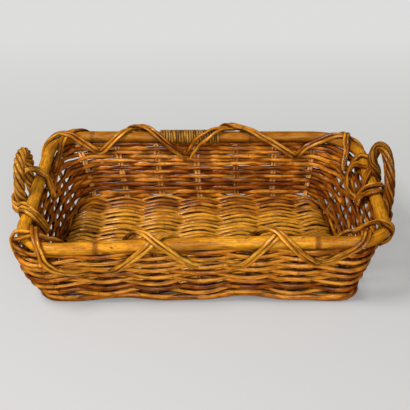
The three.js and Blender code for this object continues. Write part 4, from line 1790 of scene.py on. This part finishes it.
            # Darken as painted shade where the pair dips down.
            knot.stain_and_shade = self.tuck_shade * ease(-lift, *self.tuck_band)
            knots.append(knot)
        return Route(knots).stations(self.step)

    def apart(self, point: Vector) -> float:
        """Tell how far the canes of a pair have come apart.

        Args:
            point: where the cane is, in millimetres.

        Returns:
            A share of 0 to 1.
        """
        away = abs(point.x)
        corner = ease(away, *self.splay_start) * (1.0 - ease(away, *self.splay_stop))
        corner *= overlap((-point.y, point.z), (self.deep_band, self.top_band))
        back = bump(point.x - self.back_splay_x, self.back_splay_half) * ease(point.y, *self.deep_band)
        return corner + back

    def build(self) -> None:
        """Sweep the lashings of the front and the back."""
        half = self.surface.wall.lash / 2.0 * self.fullness
        gauge = Gauge(half, half * self.depth_share)
        key = self.first_key
        for name, middle in (self.front_pairs() | self.back_pairs()).items():
            for number, hand in ((1, -1.0), (2, 1.0)):
                shift = hand * (half + self.pair_gap)
                wide = beside(middle, shift * (1.0 + self.splay))
                stations = beside(middle, shift)
                for index, station in enumerate(stations):
                    station.point = station.point.lerp(wide[index].point, self.apart(station.point))
                    station.thick = 1.0 + self.thick_stray.at(key, index)
                    station.tone += self.tone_stray.at(key + 0.4, index)
                piece = CanePiece(f"{name}{number}")
                piece.sweep(stations, gauge, Contact.BESIDE, key).place("lash_cane")
                key += 1.0


@dataclass
class RopedHandle:
    """One handle: a bow of cane, the strands twisted round it and the hitches on its legs."""

    surface: RimSurface
    side: Side
    rise: float
    front_out: float
    crown_out: float
    back_out: float
    front_foot_out: float
    tone: float
    hitch_tone: float
    first_key: float
    middle: float = -14.0
    half: float = 31.0
    reach: float = 38.0
    rope: float = 15.5
    rope_slack: float = 1.03
    shoulder: float = 0.62
    shoulder_rise: float = 0.9
    back_share: float = 0.45
    arch_step: float = 3.6
    strands: int = 5
    turns: float = 3.8
    strand_half: float = 2.9
    strand_depth: float = 0.95
    strand_end: float = 0.72
    strand_stray: Stray = Stray(amount=0.07, span=14.0)
    spacing: float = 5.5
    hitch_lift: float = 2.3
    hitch_step: float = 3.5
    hitch_wide: float = 0.51
    hitch_deep: float = 0.46
    core: float = 7.0

    @property
    def away(self) -> float:
        """The sign of the handle's side along X."""
        return -1.0 if self.side is Side.LEFT else 1.0

    @property
    def leg_out(self) -> float:
        """How far the legs stand outside the rim's centre."""
        wall = self.surface.wall
        return wall.pole / 2.0 + 2.0 * wall.clearance + self.rope / 2.0 * self.rope_slack

    @property
    def back_foot_out(self) -> float:
        """How far the back leg's end leans in along the wall."""
        return -self.reach * math.tan(self.surface.wall.lean)

    def at(self, out: float, y: float, rise: float) -> Vector:
        """Give a point by its distances out and up from the rim's centre and along it from the middle."""
        wall = self.surface.wall
        return Vector((self.away * (wall.rim_a + out), self.middle + y, wall.rim_height + rise))

    def arch(self) -> list[Knot]:
        """Bend the bow of the handle.

        Returns:
            The stations of the bow from its front end to its back end.
        """
        high, half = self.rise * 0.5, self.half
        shoulder, crown = self.rise * self.shoulder_rise, self.crown_out
        places = (
            (self.front_foot_out, -half, -self.reach),
            (0.0, -half, 0.0),
            (self.front_out, -half, high),
            (0.5 * (self.front_out + crown), -half * self.shoulder, shoulder),
            (crown, 0.0, self.rise),
            (0.5 * (self.back_out + crown), half * self.shoulder, shoulder),
            (self.back_out, half, high),
            (self.back_share * self.back_out, half, 0.0),
            (self.back_foot_out, half, -self.reach),
        )
        up = Vector((self.away, 0.0, 0.0))
        knots = [Knot(self.at(self.leg_out + out, y, rise), up) for out, y, rise in places]
        return Route(knots).stations(self.arch_step)

    def on_leg(self, leg: float, degrees: float, rise: float) -> Knot:
        """Give a knot on the outside of a leg.

        Args:
            leg: -1 for the front leg, 1 for the back leg.
            degrees: angle round the leg, 0 on its far side and positive away from the other leg.
            rise: distance over the rim's centre.

        Returns:
            The knot.
        """
        way = self.rope / 2.0 + self.hitch_lift
        angle = math.radians(degrees)
        middle, high, foot = self.back_share * self.back_out, self.back_out, self.back_foot_out
        if leg < 0.0:
            middle, high, foot = 0.0, self.front_out, self.front_foot_out
        goal, far = (foot, self.reach) if rise < 0.0 else (high, 0.5 * self.rise)
        out = self.leg_out + middle + (goal - middle) * abs(rise) / far
        point = self.at(out + way * math.cos(angle), leg * (self.half + way * math.sin(angle)), rise)
        return Knot(point, Vector((self.away * math.cos(angle), leg * math.sin(angle), 0.0)))

    def on_rim(self, along: float, y: float, lift: float = 0.0) -> Knot:
        """Give a knot on the rim or the wall, by its way over the rim, its place along Y and its lift."""
        return self.surface.on_end_rim(self.away, y, along, lift)

    def build(self) -> None:
        """Sweep the bow, its strands and its hitches."""
        arch = self.arch()
        name = self.side.value
        core = CanePiece(f"{name}_handle_core")
        core_gauge = Gauge(self.core / 2.0, self.core / 2.0)
        core.sweep(arch, core_gauge, Contact.NONE, self.first_key).place("handle_core")
        rope = CanePiece(f"{name}_handle_rope")
        strand_gauge = Gauge(self.strand_half, self.strand_half * self.strand_depth)
        for strand in range(self.strands):
            key = self.first_key + strand
            stations = self.strand(arch, TURN * strand / self.strands, key)
            rope.sweep(stations, strand_gauge, Contact.BESIDE, key)
        rope.place("handle_rope")
        hitch_gauge = Gauge(self.hitch_wide * self.spacing, self.hitch_deep * self.spacing)
        for leg, routes in self.hitches().items():
            hitch = CanePiece(f"{name}_hitch_{leg}")
            for number, (knots, canes) in enumerate(routes):
                stations = Route(knots).stations(self.hitch_step)
                for station in stations:
                    station.tone += self.hitch_tone
                for cane in range(canes):
                    key = self.first_key + 8.0 + number + 0.3 * cane
                    shift = (cane - 0.5 * (canes - 1)) * self.spacing
                    hitch.sweep(beside(stations, shift), hitch_gauge, Contact.BESIDE, key)
            hitch.place("lash_cane")

    def strand(self, arch: list[Knot], start: float, key: float) -> list[Knot]:
        """Twist one strand round the bow.

        Args:
            arch: the stations of the bow.
            start: angle where the strand starts.
            key: its number.

        Returns:
            The strand's stations.
        """
        way = self.rope / 2.0 - self.strand_half
        stations = []
        last = len(arch) - 1
        for index, (station, (side, raised)) in enumerate(zip(arch, frames(arch))):
            angle = start - TURN * self.turns * index / last
            out = side * math.cos(angle) + raised * math.sin(angle)
            thick = 1.0 + self.strand_stray.at(key, index)
            thick *= self.strand_end if index in (0, last) else 1.0
            stations.append(Knot(station.point + out * way, out, thick=thick, tone=self.tone))
        return stations

    def hitches(self) -> dict[str, list[tuple[list[Knot], int]]]:
        """Lay out the hitches of both legs.

        Returns:
            For each leg its routes, each with its number of canes.
        """
        rim, leg = self.on_rim, self.on_leg
        if self.side is Side.LEFT:
            front = [
                rim(34.0, -34.0), rim(22.0, -33.0, 3.0), leg(-1.0, -62.0, 3.0), leg(-1.0, -20.0, 1.5),
                leg(-1.0, 30.0, -2.5), leg(-1.0, 72.0, -5.0), rim(13.0, -68.0, 1.5), rim(4.0, -79.0),
                rim(-4.0, -85.0), rim(-13.0, -86.0), rim(-25.0, -79.0), rim(-38.0, -72.0),
                rim(-49.0, -68.0),
            ]
            back = [
                rim(36.0, 30.0), leg(1.0, 50.0, 2.0), leg(1.0, 10.0, 9.0), leg(1.0, -40.0, 16.0),
                rim(7.0, 6.0, 15.0), rim(5.4, 8.0, 13.0), rim(2.3, 10.0, 8.0), rim(-1.0, 10.0, 4.0),
                rim(-6.0, 8.0, 3.0), rim(-12.0, 9.0, 1.5), rim(-21.0, 11.0, 0.5), rim(-31.0, 12.0),
                rim(-41.0, 4.0),
            ]
            return {"front": [(front, 3)], "back": [(back, 3)]}
        upper = [
            rim(-41.0, -3.0), rim(-32.0, -6.0), rim(-20.0, -13.0, 0.5), rim(-12.0, -20.0, 1.0),
            rim(-4.0, -25.0, 2.0), rim(5.0, -23.0, 2.5), rim(11.0, -19.0, 4.0), rim(19.0, -24.0, 2.0),
            leg(-1.0, -66.0, -20.0), leg(-1.0, -12.0, -24.0), leg(-1.0, 44.0, -26.0),
            leg(-1.0, 84.0, -28.0), rim(46.0, -58.0, 1.0),
        ]
        lower = [
            rim(-43.0, -13.0), rim(-32.0, -15.0), rim(-24.0, -22.0, 0.5), rim(-10.0, -37.0, 1.0),
            rim(-3.0, -41.0, 1.0), rim(6.0, -38.0, 1.5), rim(14.0, -34.0, 1.0), rim(24.0, -30.0),
            rim(34.0, -28.0, -2.0),
        ]
        back = [
            rim(32.0, 34.0), rim(22.0, 34.0, 2.0), leg(1.0, 60.0, 6.0), leg(1.0, 62.0, 16.0),
            rim(6.0, 58.0, 3.0), rim(-3.0, 70.0, 1.0), rim(-15.0, 76.0), rim(-29.0, 77.0),
            rim(-41.0, 67.0), rim(-47.0, 50.0), rim(-48.0, 32.0), rim(-44.0, 12.0), rim(-38.0, -5.0),
        ]
        across = [
            rim(34.0, 34.0), rim(24.0, 37.0, 1.0), rim(16.0, 38.0, 3.0), rim(10.0, 37.0, 4.0),
            rim(2.0, 24.0, 2.0), rim(-6.0, 6.0, 0.5), rim(-19.0, -10.0), rim(-31.0, -18.0),
            rim(-40.0, -24.0),
        ]
        second = [
            rim(-40.0, 72.0), rim(-31.0, 73.0), rim(-20.0, 66.0), rim(-8.0, 44.0), rim(1.0, 30.0, 0.5),
            rim(10.0, 22.0, 1.0), rim(20.0, 17.0), rim(34.0, 14.0),
        ]
        return {"front": [(upper, 2), (lower, 2)], "back": [(back, 2), (across, 2), (second, 2)]}


@dataclass(frozen=True)
class Lamp:
    """A square soft lamp: its name, place, size and power."""

    name: str
    place: Triple
    size: float
    power: float


@dataclass
class Studio:
    """The floor, the light and the camera, set as the photograph was taken."""

    elevation: float = 30.0
    distance: float = 1.310
    target: float = 0.072
    focal_pixels: float = 913.0
    frame_pixels: float = 410.0
    sensor: float = 36.0
    nearest: float = 0.05
    furthest: float = 50.0
    floor_half: float = 6.0
    floor_colour: Colour = (0.521, 0.512, 0.499)
    floor_mirrored: Colour = (0.05, 0.022, 0.008)
    backdrop: Colour = (0.725, 0.725, 0.72)
    # The floor glows to the camera as painted light, rising towards the back, and loses it under the tray as
    # a painted shadow.
    floor_glow: float = 0.4
    glow_band: Band = (0.1, 0.9)
    long_clear: Band = (0.185, 0.225)
    deep_clear: Band = (0.11, 0.14)
    sky_colour: Colour = (1.0, 1.0, 1.0)
    sky_strength: float = 0.24
    sky_mirrored: float = 0.03
    lamp_aim: Triple = (0.0, 0.0, 0.05)
    lamps: tuple[Lamp, ...] = (
        Lamp("key_lamp", (-1.0, -0.7, 1.8), size=0.7, power=40.0),
        Lamp("fill_lamp", (0.2, -2.1, 1.0), size=1.2, power=28.0),
    )

    def build(self) -> None:
        """Make the floor, the lamps, the sky and the camera."""
        self.lay_floor()
        self.light()
        self.hang_sky()
        self.aim_camera()
        bpy.context.scene.view_settings.view_transform = "Standard"

    def lay_floor(self) -> None:
        """Lay a wide pale floor under the tray, which glows to the camera round it, more towards the back,
        and loses its glow under the tray as a painted shadow.
        """
        sheet = bmesh.new()
        bmesh.ops.create_grid(sheet, x_segments=2, y_segments=2, size=self.floor_half)
        mesh = bpy.data.meshes.new("floor")
        sheet.to_mesh(mesh)
        sheet.free()
        material = bpy.data.materials.new("pale_floor")
        board = NodeBoard.fresh(material)
        path = board.tree.nodes.new("ShaderNodeLightPath").outputs
        shown = board.mix(path["Is Glossy Ray"], opaque(self.floor_colour), opaque(self.floor_mirrored))
        plain = board.add("ShaderNodeBsdfDiffuse", Color=shown).outputs[0]
        glow = board.add("ShaderNodeEmission", Color=opaque(self.backdrop), Strength=1.0).outputs[0]
        spot = board.add("ShaderNodeTexCoord").outputs["Object"]
        place = board.add("ShaderNodeSeparateXYZ", Vector=spot).outputs
        # The glow rises towards the back and is taken away under the tray, a painted shadow.
        away = board.spread(place["Y"], *self.glow_band)
        long_clear = board.spread(board.sum("ABSOLUTE", place["X"]), *self.long_clear)
        deep_clear = board.spread(board.sum("ABSOLUTE", place["Y"]), *self.deep_clear)
        glowing = board.sum("MULTIPLY_ADD", away, 1.0 - self.floor_glow, self.floor_glow)
        glowing = board.sum("MULTIPLY", glowing, board.sum("MAXIMUM", long_clear, deep_clear))
        share = board.sum("MULTIPLY", path["Is Camera Ray"], glowing)
        board.add("ShaderNodeOutputMaterial", Surface=board.blend(share, plain, glow))
        mesh.materials.append(material)
        put("floor", mesh)

    def light(self) -> None:
        """Hang a large soft lamp to the upper left and a weaker one in front."""
        for lamp in self.lamps:
            bulb = bpy.data.lights.new(lamp.name, "AREA")
            bulb.shape = "SQUARE"
            bulb.size = lamp.size
            bulb.energy = lamp.power
            stand = put(lamp.name, bulb)
            stand.location = lamp.place
            aim = Vector(self.lamp_aim) - Vector(lamp.place)
            stand.rotation_euler = aim.to_track_quat("-Z", "Y").to_euler()

    def hang_sky(self) -> None:
        """Light the scene evenly from all round, and show the floor's colour behind it."""
        world = bpy.data.worlds.new("studio")
        bpy.context.scene.world = world
        board = NodeBoard.fresh(world)
        path = board.tree.nodes.new("ShaderNodeLightPath").outputs
        seen = board.sum("MAXIMUM", path["Is Camera Ray"], path["Is Transmission Ray"])
        mirrored = self.sky_mirrored - self.sky_strength
        dim = board.sum("MULTIPLY_ADD", path["Is Glossy Ray"], mirrored, self.sky_strength)
        light = board.add("ShaderNodeBackground", Color=opaque(self.sky_colour), Strength=dim).outputs[0]
        shown = board.add("ShaderNodeBackground", Color=opaque(self.backdrop), Strength=1.0).outputs[0]
        board.add("ShaderNodeOutputWorld", Surface=board.blend(seen, light, shown))

    def aim_camera(self) -> None:
        """Set the camera at the photograph's angle and distance."""
        camera = bpy.data.cameras.new("camera")
        camera.sensor_width = self.sensor
        camera.lens = self.sensor * self.focal_pixels / self.frame_pixels
        camera.clip_start = self.nearest
        camera.clip_end = self.furthest
        eye = put("camera", camera)
        angle = math.radians(self.elevation)
        eye.location = (0.0, -self.distance * math.cos(angle), self.target + self.distance * math.sin(angle))
        eye.rotation_euler = (QUARTER - angle, 0.0, 0.0)
        bpy.context.scene.camera = eye


def finishes() -> Dress:
    """Make the tray's finishes.

    Returns:
        The materials by the record's slots.
    """
    skin = CaneSkin()
    looks = {
        "rim_pole": CaneFinish(
            "varnished_pole", pale=(0.86, 0.39, 0.018), body=(0.66, 0.235, 0.005), deep=(0.24, 0.072, 0.004),
            bare=(0.56, 0.30, 0.07), streaks=0.85, lines=0.3, wornness=0.3, patches=0.6, soiling_and_shading=0.45,
            dullness=0.32, varnish=0.16, varnish_blur=0.3, joints=0.0, relief=0.0008,
        ),
        "binding_cane": CaneFinish(
            "binding_split_cane", pale=(0.66, 0.33, 0.045), body=(0.36, 0.145, 0.012),
            deep=(0.08, 0.024, 0.002), streaks=0.6, patches=0.9, joints=0.0, varnish=0.3,
        ),
        "foot_cane": CaneFinish(
            "foot_cane_varnish", pale=(0.64, 0.23, 0.02), body=(0.43, 0.116, 0.005),
            deep=(0.14, 0.028, 0.0015),
        ),
        "wall_cane": CaneFinish(
            "wall_cane_varnish", pale=(1.0, 0.405, 0.036), body=(0.72, 0.187, 0.006),
            deep=(0.165, 0.031, 0.0016), patches=0.95, soiling_and_shading=1.0,
        ),
        "stake_cane": CaneFinish(
            "stake_cane_varnish", pale=(1.0, 0.50, 0.14), body=(0.74, 0.29, 0.05), deep=(0.22, 0.055, 0.004),
        ),
        "base_cane": CaneFinish(
            "base_cane_varnish", pale=(0.94, 0.43, 0.03), body=(0.68, 0.215, 0.007),
            deep=(0.19, 0.036, 0.002), patches=0.85,
        ),
        "lash_cane": CaneFinish(
            "lash_cane_varnish", pale=(0.96, 0.46, 0.045), body=(0.66, 0.215, 0.008),
            deep=(0.17, 0.034, 0.002), patches=0.8, soiling_and_shading=0.85,
        ),
        "handle_rope": CaneFinish(
            "handle_strand_varnish", pale=(0.74, 0.33, 0.03), body=(0.42, 0.13, 0.006),
            deep=(0.11, 0.023, 0.0015), patches=0.85,
        ),
        "handle_core": CaneFinish(
            "handle_core_cane", pale=(0.40, 0.17, 0.025), body=(0.26, 0.09, 0.008), deep=(0.12, 0.035, 0.003),
        ),
    }
    return {slot: look.material(skin) for slot, look in looks.items()}


def main() -> None:
    """Build the tray's sub-assemblies in order, then the studio."""
    logging.basicConfig(level=logging.INFO, format="%(name)s: %(message)s")
    wall = TrayWall()
    low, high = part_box("rim_pole")
    CanePiece.settling = Settling(wall.rim_height)
    CanePiece.shift_y = (low[1] + high[1]) / 2.0 / MM
    CanePiece.dress = finishes()
    surface = RimSurface(wall)
    left = RopedHandle(
        surface, Side.LEFT, rise=53.5, front_out=-0.3, crown_out=0.2, back_out=-2.5, front_foot_out=-6.0,
        tone=-0.3, hitch_tone=-0.48, first_key=110.0, rope=16.4,
    )
    right = RopedHandle(
        surface, Side.RIGHT, rise=63.0, front_out=-1.5, crown_out=-6.5, back_out=-15.0, front_foot_out=-1.0,
        tone=0.1, hitch_tone=0.4, first_key=130.0, strands=7, turns=2.4, strand_half=2.4, spacing=4.9,
    )
    woven = (WallWeave(wall), StakeSet(wall), BaseWeave(wall), RimPole(wall))
    for part in (*woven, RimLashing(surface), left, right):
        part.build()
    Studio().build()
    bpy.context.view_layer.update()


if __name__ == "__main__":
    main()
